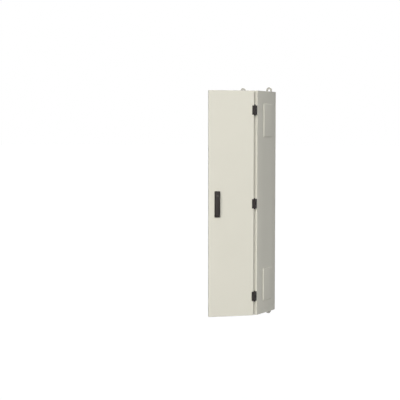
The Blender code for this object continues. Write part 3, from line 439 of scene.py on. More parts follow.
def meshOf(name, shape):
    points, faces = shape
    mesh = bpy.data.meshes.new(name)
    mesh.from_pydata(np.asarray(points).tolist(), [], faces)
    work = bmesh.new()
    work.from_mesh(mesh)
    bmesh.ops.recalc_face_normals(work, faces=work.faces)
    work.to_mesh(mesh)
    work.free()
    return mesh


def combine(obj, shape, operation):
    # one exact Boolean with a passing helper, applied to the mesh
    helper = inScene("helper", meshOf("helper", shape))
    modifier = obj.modifiers.new("boolean", "BOOLEAN")
    modifier.operation = operation
    modifier.solver = "EXACT"
    modifier.object = helper
    graph = bpy.context.evaluated_depsgraph_get()
    made = bpy.data.meshes.new_from_object(obj.evaluated_get(graph), depsgraph=graph)
    obj.modifiers.remove(modifier)
    old, obj.data = obj.data, made
    bpy.data.meshes.remove(old)
    bpy.data.objects.remove(helper, do_unlink=True)


def piece(name, shape, finish, body="root", replaces=(), cuts=(), joins=(), ease=0.0, smooth=smoothDegrees):
    # a shape with its joins added and then its cuts taken away, in its finish
    obj = inScene(name, meshOf(name, hung(shape, body)))
    for part in joins:
        combine(obj, hung(part, body), "UNION")
    for part in cuts:
        combine(obj, hung(part, body), "DIFFERENCE")
    dress(obj, finish, body, replaces, ease, smooth)


def dress(obj, finish, body, replaces, ease, smooth):
    # its one material, its smooth shading and eased edges, and its place in the frame
    obj.data.materials.clear()
    obj.data.materials.append(materials[finish])
    obj.data.polygons.foreach_set("material_index", np.zeros(len(obj.data.polygons), np.int32))
    obj.data.shade_smooth()
    obj.data.set_sharp_from_angle(angle=math.radians(smooth))
    if ease:
        bevel = obj.modifiers.new("easedEdges", "BEVEL")
        bevel.width = ease
        bevel.segments = 2
        bevel.limit_method = "ANGLE"
        bevel.angle_limit = math.radians(easedDegrees)
        bevel.harden_normals = True
    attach(obj, body)
    if replaces:
        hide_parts(*replaces)


def easedCopy(node, ease, name=None):
    # a copy of a node's mesh with its doubles merged, its flat faces whole again and its edges eased
    source = frame["nodes"][node]
    mesh = source.data.copy()
    work = bmesh.new()
    work.from_mesh(mesh)
    bmesh.ops.remove_doubles(work, verts=work.verts, dist=1e-6)
    bmesh.ops.dissolve_limit(work, angle_limit=math.radians(1), verts=work.verts, edges=work.edges)
    work.to_mesh(mesh)
    work.free()
    obj = inScene(name or f"{node}_eased", mesh)
    dress(obj, slotFinish[nodeSlot[node]], source["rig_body"], (node,), ease, smoothDegrees)


# ---- the body

shell = {
    "frontFlange": 0.024,
    "sideFrontFlange": 0.028,
    "frontLip": 0.010,
    "sideRearFlange": 0.020,
    "endRearFlange": 0.050,
    "coverLap": 0.006,
    "coverOpeningCorner": 0.007,
    "glandRim": 0.010,
    "glandOpeningCorner": 0.006,
    "ease": 0.0003,
}


def sideName(side):
    return "right" if side > 0 else "left"


def coverName(side, end):
    return f"side_cover_{sideName(side)}_{'upper' if end > 0 else 'lower'}"


def endName(end):
    return "top" if end > 0 else "bottom"


def sideWall(side):
    # the folded section carried up the full height: lip, front flange, wall and rear flange
    name = f"{sideName(side)}_side_wall"
    low, high = openBox(name)
    right = reaches((low, high), 0)[1]
    front, back, top = low[1], high[1], high[2]
    edge = right - shell["sideFrontFlange"]
    path = [
        (edge, front + shell["frontLip"]),
        (edge, front),
        (right, front),
        (right, back),
        (right - shell["sideRearFlange"], back),
    ]
    cuts = []
    for end in (-1, 1):
        notchStart = (side * (edge - sheet), front + sheet, end * (top - shell["frontFlange"]))
        notchEnd = (side * (edge + 2 * sheet), front + shell["frontLip"] + sheet, end * (top + sheet))
        cuts.append(between(notchStart, notchEnd))
        cover = openBox(coverName(side, end))
        opening = boxOutline(cover, "x", shell["coverLap"], shell["coverOpeningCorner"])
        cuts.append(extruded(opening, "x", side * (right - 3 * sheet), side * (right + sheet)))
    folded = extruded(sheetOutline(path) * (side, 1), "z", low[2], top)
    piece(f"{name}_folded", folded, "cabinetPaint", replaces=(name,), cuts=cuts, ease=shell["ease"])


def endPanel(end):
    # the folded section of roof or floor carried across, with its corners notched and its cable opening cut
    name = "roof_panel" if end > 0 else "floor_panel"
    low, high = openBox(name)
    front, back, wide = low[1], high[1], high[0]
    top = reaches((low, high), 2)[1]
    path = [
        (back, top - shell["endRearFlange"]),
        (back, top),
        (front, top),
        (front, top - shell["frontFlange"]),
    ]
    wallLow, wallHigh = openBox("right_side_wall")
    notches = (
        (wallLow[0] - fit, front - sheet, front + sheet + fit),
        (wallHigh[0] - shell["sideRearFlange"] - fit, back - sheet - fit, back + sheet),
    )
    cuts = [
        between((side * inner, near, -top - sheet), (side * (wide + sheet), far, top + sheet))
        for side in (-1, 1)
        for inner, near, far in notches
    ]
    plate = openBox(f"{endName(end)}_gland_plate")
    opening = boxOutline(plate, "z", shell["glandRim"], shell["glandOpeningCorner"])
    cuts.append(extruded(opening, "z", end * (top - 3 * sheet), end * (top + sheet)))
    folded = extruded(sheetOutline(path) * (1, end), "x", -wide, wide)
    piece(f"{name}_folded", folded, "cabinetPaint", replaces=(name,), cuts=cuts, ease=shell["ease"])


pressedCover = {
    "corner": 0.010,
    "smallestCorner": 0.002,
    "gauge": 0.0015,
    "rimEdge": ((0.0002, 0.0), (0.0, 0.0002), (0.0, 0.0005), (0.0003, 0.0007)),  # inset and height
    "rim": 0.0008,
    "slope": 0.0055,  # width of the raised border
    "slopeSteps": 9,
}


def sideCover(side, end):
    # rounded rectangles stepped up a smooth S: height follows a half cosine from rim to crown
    name = coverName(side, end)
    box = openBox(name)
    skirtEnd, crown = reaches(box, 0)
    face = openBox("right_side_wall")[1][0] + fit
    gauge, rim, lap = pressedCover["gauge"], pressedCover["rim"], shell["coverLap"] + fit

    def ring(inset, x):
        radius = max(pressedCover["corner"] - inset, pressedCover["smallestCorner"])
        return raised(boxOutline(box, "x", inset, radius), "x", side * x)

    skirt = ((lap + gauge, crown - gauge), (lap + gauge, skirtEnd), (lap, skirtEnd), (lap, face))
    loops = [ring(inset, x) for inset, x in skirt]
    loops += [ring(inset, face + height) for inset, height in pressedCover["rimEdge"]]
    rise = crown - face - rim
    loops += [
        ring(rim + pressedCover["slope"] * s, face + rim + rise * (1 - math.cos(math.pi * s)) / 2)
        for s in np.linspace(0, 1, pressedCover["slopeSteps"])
    ]
    piece(f"{name}_pressed", loft(loops), "cabinetPaint", replaces=(name,), smooth=50)


rearScrews = {"head": (0.0042, 0.0022, 0.0025), "rows": 5, "reach": 0.56, "fromFlangeEdge": 0.010}


def rearPanel():
    easedCopy("rear_panel", ease=0.0002, name="rear_panel_sheet")
    back = openBox("right_side_wall")[1]
    x = back[0] - rearScrews["fromFlangeEdge"]
    heights = np.linspace(-rearScrews["reach"], rearScrews["reach"], rearScrews["rows"])
    places = [(side * x, back[1], z) for side in (-1, 1) for z in heights]
    piece("rear_panel_screws", repeated(aimed(panHead(*rearScrews["head"]), backwards), places), "zincSteel")


for side in (-1, 1):
    sideWall(side)
    for end in (-1, 1):
        sideCover(side, end)
for end in (-1, 1):
    endPanel(end)
rearPanel()
print("shell made")


lug = {
    "width": 0.041,
    "gauge": 0.003,
    "eye": 0.0165,
    "boltHole": 0.0086,
    "bolts": (0.024, 0.038),  # from the roof or floor
    "footRadius": 0.0015,
    "joggleLength": 0.0125,
    "tipTurn": (0.12, np.pi / 2 - 0.02),  # angles about the eye between which the tip is round
    "ease": 0.0004,
}


def wallLug(side, end):
    # a rectangular section carried along the joggled strip; past the eye's centre its width follows a half
    # circle
    name = f"wall_bracket_{endName(end)}_{sideName(side)}"
    box = openBox(name)
    x = centreOf(box)[0]
    root, tip = reaches(box, 2)
    half, gauge, joggle, rounding = lug["width"] / 2, lug["gauge"], lug["joggleLength"], lug["footRadius"]
    centre = tip - half
    top = openBox("roof_panel")[1][2]
    seat = box[0][1]
    rise = box[1][1] - gauge - seat
    foot = np.linspace(0, np.pi / 2, 4)
    s = np.linspace(0, 1, 9)
    around = np.linspace(*lug["tipTurn"], 16)
    footZ, joggleZ = root + rounding * (1 - np.cos(foot)), top - joggle + joggle * s
    z = np.r_[footZ, joggleZ, centre, centre + half * np.sin(around)]
    y = seat + rise * np.r_[np.zeros(len(foot)), (1 - np.cos(np.pi * s)) / 2, np.ones(len(around) + 1)]
    w = np.r_[half - rounding * (1 - np.sin(foot)), np.full(len(s) + 1, half), half * np.cos(around)]
    loops = [
        [(x - b, a, end * h), (x + b, a, end * h), (x + b, a + gauge, end * h), (x - b, a + gauge, end * h)]
        for a, b, h in zip(y, w, z)
    ]
    cuts = [extruded(circleOutline(x, end * centre, lug["eye"] / 2, 40), "y", -2 * gauge, gauge)]
    cuts += [
        extruded(circleOutline(x, end * (top - down), lug["boltHole"] / 2, 20), "y", seat - gauge, 2 * gauge)
        for down in lug["bolts"]
    ]
    strip, eased = loft(loops), lug["ease"]
    piece(f"{name}_forged", strip, "galvanisedSteel", replaces=(name,), cuts=cuts, ease=eased, smooth=30)


lugBolt = {
    "acrossFlats": 0.013,
    "height": 0.0050,
    "washer": 0.0165,
    "nut": 0.0068,
    "threadEnd": ((0.004, 0), (0.004, 0.0025), (0.0033, 0.0032)),  # radius and height
}


def lugBolts():
    bracket = openBox("wall_bracket_top_right")
    x, seat = centreOf(bracket)[0], bracket[0][1] + lug["gauge"]
    top = openBox("roof_panel")[1][2]
    inside = openBox("rear_panel")[0][1]
    spots = [(side * x, end * (top - down)) for side in (-1, 1) for end in (-1, 1) for down in lug["bolts"]]
    head = aimed(hexBolt(lugBolt["acrossFlats"], lugBolt["height"], lugBolt["washer"]), backwards)
    nut = aimed(hexBolt(lugBolt["acrossFlats"], lugBolt["nut"], lugBolt["washer"]), forwards)
    threadEnd = aimed(lathed(lugBolt["threadEnd"], 20), forwards)
    piece("wall_bracket_bolts", repeated(head, [(a, seat, b) for a, b in spots]), "zincSteel")
    nuts = repeated(nut, [(a, inside, b) for a, b in spots])
    ends = repeated(threadEnd, [(a, inside - lugBolt["nut"], b) for a, b in spots])
    piece("wall_bracket_nuts", merged([nuts, ends]), "zincSteel")


for side in (-1, 1):
    for end in (-1, 1):
        wallLug(side, end)
lugBolts()
print("wall brackets made")


glandPlate = {
    "corner": 0.004,
    "knockouts": ((0.0205, 4, -0.030), (0.0255, 4, 0.022)),  # diameter, count and distance behind the middle
    "rowReach": 0.066,
    "groove": 0.0012,
    "depth": 0.0009,
    "screw": (0.0045, 0.0026, 0.003),
}


def glandPlates():
    # a flat plate with rings pressed in its outer face, where cable holes are later knocked out
    groove, depth = glandPlate["groove"], glandPlate["depth"]
    section = ((0, -depth), (groove, -depth), (groove, shortOverrun), (0, shortOverrun))
    for end in (-1, 1):
        name = f"{endName(end)}_gland_plate"
        low, high = box = openBox(name)
        inner, face = reaches(box, 2)
        rings = []
        for diameter, count, offset in glandPlate["knockouts"]:
            y = centreOf(box)[1] + offset
            for x in np.linspace(-glandPlate["rowReach"], glandPlate["rowReach"], count):
                loops = [
                    raised(circleOutline(x, y, diameter / 2 + grow, 36), "z", end * (face + up))
                    for grow, up in section
                ]
                rings.append(loft(loops, closed=True))
        plate = extruded(boxOutline(box, "z", 0, glandPlate["corner"]), "z", low[2], high[2])
        piece(f"{name}_pressed", plate, "cabinetPaint", replaces=(name,), cuts=[merged(rings)], ease=0.0002)
        rim = shell["glandRim"] / 2
        places = [
            (x, y, end * inner)
            for x in (low[0] + rim, 0, high[0] - rim)
            for y in (low[1] + rim, high[1] - rim)
        ]
        screw = aimed(panHead(*glandPlate["screw"]), (0, 0, -end))
        piece(f"{name}_screws", repeated(screw, places), "zincSteel")


glandPlates()
print("gland plates made")

mountingFrame = {
    "slot": (0.0055, 0.012),
    "slotReach": 0.003,  # cut to either side of the face
    "firstSlot": 0.0192,
    "lastSlot": 0.012,
    "railSlot": (0.015, 0.0052),
    "railSlotDepth": 0.004,
    "railReach": 0.100,
    "pitch": 0.025,
    "railGauge": 0.001,
    "railBend": 0.0006,
    "railWeb": 0.0135,  # half the height of the channel's back
    "screw": (0.0048, 0.0030, 0.003),
}
rails = sorted(node for node in frame["nodes"] if node.startswith("din_rail_"))
columnX = centreOf(openBox("right_upright"))[0]


def uprights():
    for side in (-1, 1):
        name = f"{sideName(side)}_upright"
        low, high = openBox(name)
        inner, outer = reaches((low, high), 0)
        front, back = low[1], high[1]
        outline = sheetOutline([(inner, back), (inner, front), (outer, front), (outer, back)]) * (side, 1)
        slotReach = mountingFrame["slotReach"]
        slot = extruded(slotOutline(*mountingFrame["slot"]), "y", -slotReach, slotReach)
        start, end = low[2] + mountingFrame["firstSlot"], high[2] - mountingFrame["lastSlot"]
        heights = np.arange(start, end, mountingFrame["pitch"])
        slots = repeated(slot, [(side * columnX, front, z) for z in heights])
        column = extruded(outline, "z", low[2], high[2])
        piece(f"{name}_perforated", column, "zincSteel", replaces=(name,), cuts=[slots])


def dinRails():
    # a hat section carried across, slotted along its back
    gauge, web = mountingFrame["railGauge"], mountingFrame["railWeb"]
    reach = mountingFrame["railReach"]
    for name in rails:
        low, high = openBox(name)
        front, back, middle = low[1], high[1], centreOf((low, high))[2]
        path = [
            (front, high[2]),
            (front, middle + web - gauge),
            (back - gauge, middle + web - gauge),
            (back - gauge, middle - web + gauge),
            (front, middle - web + gauge),
            (front, low[2]),
        ]
        outline = sheetOutline(path, gauge, mountingFrame["railBend"], 3)
        slotFront = back - mountingFrame["railSlotDepth"]
        slot = extruded(slotOutline(*mountingFrame["railSlot"]), "y", slotFront, back + overrun)
        places = [(x, 0, middle) for x in np.arange(-reach, reach + overrun, mountingFrame["pitch"])]
        rail = extruded(outline, "x", low[0], high[0])
        piece(f"{name}_slotted", rail, "zincSteel", replaces=(name,), cuts=[repeated(slot, places)])
    face = openBox(rails[0])[1][1] - gauge
    places = [(side * columnX, face, centreOf(openBox(rail))[2]) for side in (-1, 1) for rail in rails]
    piece("din_rail_screws", repeated(aimed(panHead(*mountingFrame["screw"]), forwards), places), "zincSteel")


uprights()
dinRails()
print("mounting frame made")

guard = {
    "ease": 0.0009,
    "windowWidth": 0.217,
    "windowHeight": 0.046,
    "windowCorner": 0.002,
    # how far out from the window and how high, round the frame's section
    "frame": (
        (0, -0.0005),
        (0, 0.00084),
        (0.00036, 0.0012),
        (0.00252, 0.0012),
        (0.003, 0.00048),
        (0.003, -0.0005),
    ),
    "holderAboveWindow": (0.008, 0.018),
    "holderCorner": 0.0016,
    # inset and height, up the label holder's edge
    "holder": ((0, -0.0005), (0, 0.0010), (0.0004, 0.0014), (0.0012, 0.0014), (0.0014, 0.0008)),
    "labelInset": 0.002,
    "labelCorner": 0.0005,
    "labelHeights": (0.0011, 0.0006),
    # radius and height of the fasteners' parts
    "collar": ((0.0068, -0.0004), (0.0068, 0.0010), (0.0062, 0.0016), (0.0052, 0.0016), (0.0050, 0.0006)),
    "fastener": ((0.0046, 0.0002), (0.0046, 0.0018), (0.0040, 0.0024)),
    "fastenerSlot": ((-0.0036, -0.004, -0.0006), (0.0036, -0.0014, 0.0006)),
    "fastenerFromEnd": 0.015,
}
guards = sorted(node for node in frame["nodes"] if node.startswith("touch_guard_"))


def windowRims(name):
    # rounded rectangles stepped round each window's frame, and up the label holder above it
    low, high = openBox(name)
    wide, tall = guard["windowWidth"] / 2, guard["windowHeight"] / 2
    frames, strips, holders = [], [], []

    def stepped(bottom, top, corner, steps, closed=False):
        loops = [
            raised(roundedRectangle(-wide + i, bottom + i, wide - i, top - i, corner - i), "y", low[1] - out)
            for i, out in steps
        ]
        return loft(loops, closed)

    for rail in rails:
        if not low[2] < openBox(rail)[0][2] < high[2]:
            continue
        z = centreOf(openBox(rail))[2]
        section = [(-grow, out) for grow, out in guard["frame"]]
        frames.append(stepped(z - tall, z + tall, guard["windowCorner"], section, closed=True))
        bottom, top = (z + tall + above for above in guard["holderAboveWindow"])
        holders.append(stepped(bottom, top, guard["holderCorner"], guard["holder"]))
        inset, corner = guard["labelInset"], guard["labelCorner"]
        label = roundedRectangle(-wide + inset, bottom + inset, wide - inset, top - inset, corner, 2)
        strips.append(extruded(label, "y", *(low[1] - out for out in guard["labelHeights"])))
    piece(f"{name}_window_frames", merged(frames + holders), "guardPlastic")
    piece(f"{name}_label_strips", merged(strips), "labelCard")


def guardScrews():
    # slotted quarter-turn fasteners in shallow collars, at the guards' corners
    places = []
    for name in guards:
        low, high = openBox(name)
        heights = (low[2] + guard["fastenerFromEnd"], high[2] - guard["fastenerFromEnd"])
        places += [(side * columnX, low[1], z) for side in (-1, 1) for z in heights]
    piece("touch_guard_collars", repeated(aimed(lathed(guard["collar"]), forwards), places), "guardPlastic")
    slots = repeated(block(*guard["fastenerSlot"]), places)
    head = aimed(lathed(guard["fastener"], 28), forwards)
    piece("touch_guard_fasteners", repeated(head, places), "blackPlastic", cuts=[slots])


for name in guards:
    easedCopy(name, guard["ease"], f"{name}_moulded")
    windowRims(name)
guardScrews()
print("touch guards made")

bars = {
    "reach": {"neutral_bar": 0.076, "earth_bar": 0.070},
    "pitch": 0.0085,
    "holeRadius": 0.0025,
    "screw": (0.0024, 0.0022, 0.0016),
}


def terminalBars():
    # wire holes through each bar, one clamping screw in its face for each
    for name, reach in bars["reach"].items():
        low, high = openBox(name)
        middle = centreOf((low, high))
        xs = np.arange(-reach, reach, bars["pitch"])
        outline = circleOutline(0, 0, bars["holeRadius"], 16)
        hole = extruded(outline, "z", low[2] - shortOverrun, high[2] + shortOverrun)
        holes = repeated(hole, [(x, middle[1], 0) for x in xs])
        piece(f"{name}_drilled", block(low, high), "barBrass", replaces=(name,), cuts=[holes], ease=0.0003)
        head = aimed(panHead(*bars["screw"]), forwards)
        piece(f"{name}_screws", repeated(head, [(x, low[1], middle[2]) for x in xs]), "zincSteel")


terminalBars()
for side in ("left", "right"):
    easedCopy(f"neutral_bar_support_{side}", ease=0.0006)
for end in ("top", "bottom"):
    easedCopy(f"rod_keeper_{end}", ease=0.0002)
print("terminal bars made")

earthStud = {
    "stud": ((0.003, 0), (0.003, 0.0165), (0.0024, 0.0172)),  # radius and height
    "nut": (0.010, 0.0048, 0.0135),
    "upperNut": 0.0052,
    "inBody": (-0.095, -0.640),
    "onDoor": (0.010, -0.600),
}


def earthStuds():
    # a threaded stud with a washer and two nuts, one on the rear panel and one inside the door
    nut = hexBolt(*earthStud["nut"])
    stud = merged([lathed(earthStud["stud"], 20), nut, (nut[0] + (0, 0, earthStud["upperNut"]), nut[1])])
    (x, z), inside = earthStud["inBody"], openBox("rear_panel")[0][1]
    piece("body_earth_stud", repeated(aimed(stud, forwards), [(x, inside, z)]), "zincSteel")
    (x, z), inside = earthStud["onDoor"], shutBox("door_stiffener")[0][1] - fit
    piece("door_earth_stud", repeated(aimed(stud, backwards), [(x, inside, z)]), "zincSteel", "door")


earthStuds()

# ---- the door

doorPan = {
    "corner": 0.0025,
    "smallestCorner": 0.0006,
    "bend": 0.0027,
    "bendSteps": 6,
    "return": 0.017,
    "edge": 0.0002,
    "spindleHole": 0.0063,
}


def doorLeaf():
    # rectangles with rounded corners, stepped along the pan's section: face, outer bend, edge, rear bend,
    # return, and back along the inner faces a gauge away
    box = shutBox("door_panel")
    front, back = box[0][1], box[1][1]
    radius, lip, edge = doorPan["bend"], doorPan["return"], doorPan["edge"]
    inner = radius - sheet

    def ring(inset, y):
        corner = max(doorPan["corner"] - inset, doorPan["smallestCorner"])
        return raised(boxOutline(box, "y", inset, corner), "y", y)

    turn = np.linspace(0, np.pi / 2, doorPan["bendSteps"])
    loops = [ring(radius * (1 - math.sin(a)), front + radius * (1 - math.cos(a))) for a in turn]
    loops += [ring(radius * (1 - math.cos(a)), back - radius * (1 - math.sin(a))) for a in turn]
    innerFront, innerBack = front + sheet, back - sheet
    lipEdge = ((lip - edge, back), (lip, back - edge), (lip, innerBack + edge), (lip - edge, innerBack))
    loops += [ring(inset, y) for inset, y in lipEdge]
    loops += [ring(sheet + inner * (1 - math.sin(a)), innerBack - inner * (1 - math.cos(a))) for a in turn]
    loops += [ring(sheet + inner * (1 - math.cos(a)), innerFront + inner * (1 - math.sin(a))) for a in turn]
    x, _, z = centreOf(shutBox("drive_pinion"))
    cuts = [extruded(circleOutline(x, z, doorPan["spindleHole"]), "y", front - sheet, front + 3 * sheet)]
    piece("door_leaf_folded", loft(loops), "cabinetPaint", "door", ("door_panel",), cuts=cuts, smooth=30)


gasket = {"width": 0.007, "corner": 0.010, "steps": 9, "fullness": 0.7}


def doorGasket():
    # a swollen half-round section carried round the door: inset follows the cosine of an angle, and height a
    # power of its sine
    low, high = box = shutBox("door_gasket")
    turn = np.linspace(0, np.pi, gasket["steps"])
    insets = gasket["width"] / 2 * (1 - np.cos(turn))
    heights = low[1] + (high[1] - low[1]) * np.sin(turn) ** gasket["fullness"]
    loops = [raised(boxOutline(box, "y", i, gasket["corner"] - i), "y", y) for i, y in zip(insets, heights)]
    piece("door_gasket_foam", loft(loops, closed=True), "gasketRubber", "door", ("door_gasket",))


stiffener = {
    "foot": 0.005,
    "bend": 0.0008,
    "hole": 0.0030,
    "holeReach": 0.004,  # cut to either side of the crown
    "pitch": 0.025,
    "firstHole": 0.014,
    "lastHole": 0.010,
}


def doorStiffener():
    # a hat section carried up the door, with a row of holes in its crown
    low, high = shutBox("door_stiffener")
    base, crown, foot = low[1] + sheet, high[1], stiffener["foot"]
    path = [
        (high[0], base),
        (high[0] - foot, base),
        (high[0] - foot, crown),
        (low[0] + foot, crown),
        (low[0] + foot, base),
        (low[0], base),
    ]
    outline = sheetOutline(path, inner=stiffener["bend"])
    through = stiffener["holeReach"]
    hole = extruded(circleOutline(0, 0, stiffener["hole"], 16), "y", crown - through, crown + through)
    heights = np.arange(low[2] + stiffener["firstHole"], high[2] - stiffener["lastHole"], stiffener["pitch"])
    cuts = [repeated(hole, [(centreOf((low, high))[0], 0, z) for z in heights])]
    folded = extruded(outline, "z", low[2], high[2])
    piece("door_stiffener_perforated", folded, "cabinetPaint", "door", ("door_stiffener",), cuts=cuts)


doorLeaf()
doorGasket()
doorStiffener()
easedCopy("document_pocket", ease=0.0008, name="document_pocket_moulded")
print("door made")

hingeShape = {
    "knuckle": 0.005,
    "bore": 0.0028,
    "middle": 0.0196,  # length of the door leaf's barrel
    "ease": 0.0006,
    "axisBehindDoorFace": 0.002,
    "leafGauge": 0.0038,
    "leafCorner": 0.0016,
    "shank": 0.0025,
    "cap": 0.0293,  # from the pin's middle to its caps
    "capEdge": ((0.0047, 0), (0.005, 0.0003), (0.005, 0.0009)),  # radius and height
    "dome": (0.0021, 0.0026, 0.0012),  # flat top's radius, width of the round, and the height where it starts
}


def hingeBodyLeaf(node, x, y, half):
    # a half circle round the pin drawn back to the wall, with a gap for the door leaf's barrel
    low, high = openBox(node)
    knuckle, z = hingeShape["knuckle"], centreOf((low, high))[2]
    turn = np.linspace(np.pi, 2 * np.pi, 17)
    nose = np.stack([x + knuckle * np.cos(turn), y + knuckle * np.sin(turn)], 1)
    outline = np.vstack([[(x + knuckle, high[1]), (x - knuckle, high[1])], nose])
    gapEnd = (x + 2 * knuckle, y + 2 * knuckle - fit, z + half + fit)
    gap = block((x - 2 * knuckle, y - 2 * knuckle, z - half - fit), gapEnd)
    boreOutline = circleOutline(x, y, hingeShape["bore"], 24)
    bore = extruded(boreOutline, "z", low[2] - shortOverrun, high[2] + shortOverrun)
    cast = extruded(outline, "z", low[2], high[2])
    piece(f"{node}_cast", cast, "blackCasting", replaces=(node,), cuts=[gap, bore], ease=hingeShape["ease"])
    return z


def hingeDoorLeaf(node, x, y, z, half):
    # a plate on the door's face, bridged to a barrel round the pin
    low, high = shutBox(node)
    knuckle = hingeShape["knuckle"]
    back = y - hingeShape["axisBehindDoorFace"] - fit
    front = y - hingeShape["axisBehindDoorFace"] - hingeShape["leafGauge"]
    edge = x - knuckle - 3 * fit
    outline = roundedRectangle(low[0], low[2], edge, high[2], hingeShape["leafCorner"], 4)
    leaf = extruded(outline, "y", front, back)
    bridge = block((edge - knuckle, front, z - half), (x, back, z + half))
    barrel = extruded(circleOutline(x, y, knuckle, 32), "z", z - half, z + half)
    bore = extruded(circleOutline(x, y, hingeShape["bore"], 24), "z", z - 2 * half, z + 2 * half)
    joins, ease = [bridge, barrel], hingeShape["ease"]
    piece(f"{node}_cast", leaf, "blackCasting", "door", (node,), joins=joins, cuts=[bore], ease=ease)


def hingePin(node, x, y, z):
    # a shank between two caps, each with a quarter ellipse for its dome
    low, high = openBox(node)
    reach, cap = (high[2] - low[2]) / 2, hingeShape["cap"]
    flat, width, start = hingeShape["dome"]
    upper = [(hingeShape["shank"], cap)]
    upper += [(radius, cap + height) for radius, height in hingeShape["capEdge"]]
    upper += [
        (flat + width * math.cos(a), cap + start + (reach - cap - start) * math.sin(a))
        for a in np.linspace(0, np.pi / 2, 7)
    ]
    points, faces = lathed([(radius, -height) for radius, height in upper[::-1]] + upper)
    piece(f"{node}_turned", (points + (x, y, z), faces), "blackCasting", replaces=(node,), smooth=40)


def hinges():
    x, y = hingeLine[:2]
    half = hingeShape["middle"] / 2
    for place in ("lower", "middle", "upper"):
        z = hingeBodyLeaf(f"hinge_{place}_body_leaf", x, y, half)
        hingeDoorLeaf(f"hinge_{place}_door_leaf", x, y, z, half)
        hingePin(f"hinge_{place}_pin", x, y, z)


hinges()
print("hinges made")

# heights are from the door's face
swingHandle = {
    "baseEdge": 0.0016,
    "baseCorner": 0.004,
    "leverPeak": 0.020,
    "leverEnd": 0.0175,
    "reach": 0.081,
    "startAbovePivot": 0.0125,
    "floor": 0.0081,  # underside over the base
    "overHub": 0.0111,  # underside over the fork
    "stepStart": 0.0008,  # past the fork's plate
    "stepLength": 0.0042,
    "endRound": 0.005,
    "drawFloor": 0.03,
    "drawnThickness": 0.45,  # shares left at the very end
    "drawnWidth": 0.84,
    "sectionPower": 4.5,
    "neck": 0.005,
    "hollowHalfWidth": 0.010,
    "hollowFromFork": 0.0085,
    "hollowFromCylinder": 0.013,
    "hollowCorner": 0.003,
    "hollowDepth": 0.006,
    "spindleBore": 0.0063,
    "cylinderBore": 0.0073,
    "pivotRadius": 0.005,
    "pinRadius": 0.002,
    "pinHole": 0.0023,
    "pinChamfer": 0.0003,
    "ear": 0.004,
    "hubBack": 0.0076,
    "plateGauge": 0.003,
    "plateCorner": 0.002,
    "plateAbovePivot": 0.0055,
    "earTop": (0.009, 0.007),  # above the pivot, at the plate and at the nose
    "earNose": 0.002,
    "shaftRadius": 0.006,
    "shaftChamfer": 0.0005,
    "shaftInPlate": 0.0015,
    "forkEase": 0.0004,
}


def smoothStep(t):
    # zero to one with level ends: three times the square less twice the cube
    t = np.clip(t, 0, 1)
    return t * t * (3 - 2 * t)


def handleBase():
    # rounded rectangles stacked outwards, the last few drawn in along a quarter circle
    low, high = box = shutBox("handle_base")
    edge = swingHandle["baseEdge"]
    turn = np.linspace(0, np.pi / 2, 6)
    rings = [(0.0, high[1])] + [(edge * (1 - math.cos(a)), low[1] + edge * (1 - math.sin(a))) for a in turn]
    loops = [raised(boxOutline(box, "y", i, swingHandle["baseCorner"] - i / 2, 6), "y", y) for i, y in rings]
    spindleZ = centreOf(shutBox("drive_pinion"))[2]
    outline = circleOutline(centreOf(box)[0], spindleZ, swingHandle["spindleBore"])
    bore = extruded(outline, "y", low[1] - overrun, high[1] + overrun)
    piece("handle_base_cast", loft(loops), "blackCasting", "door", ("handle_base",), cuts=[bore], smooth=30)


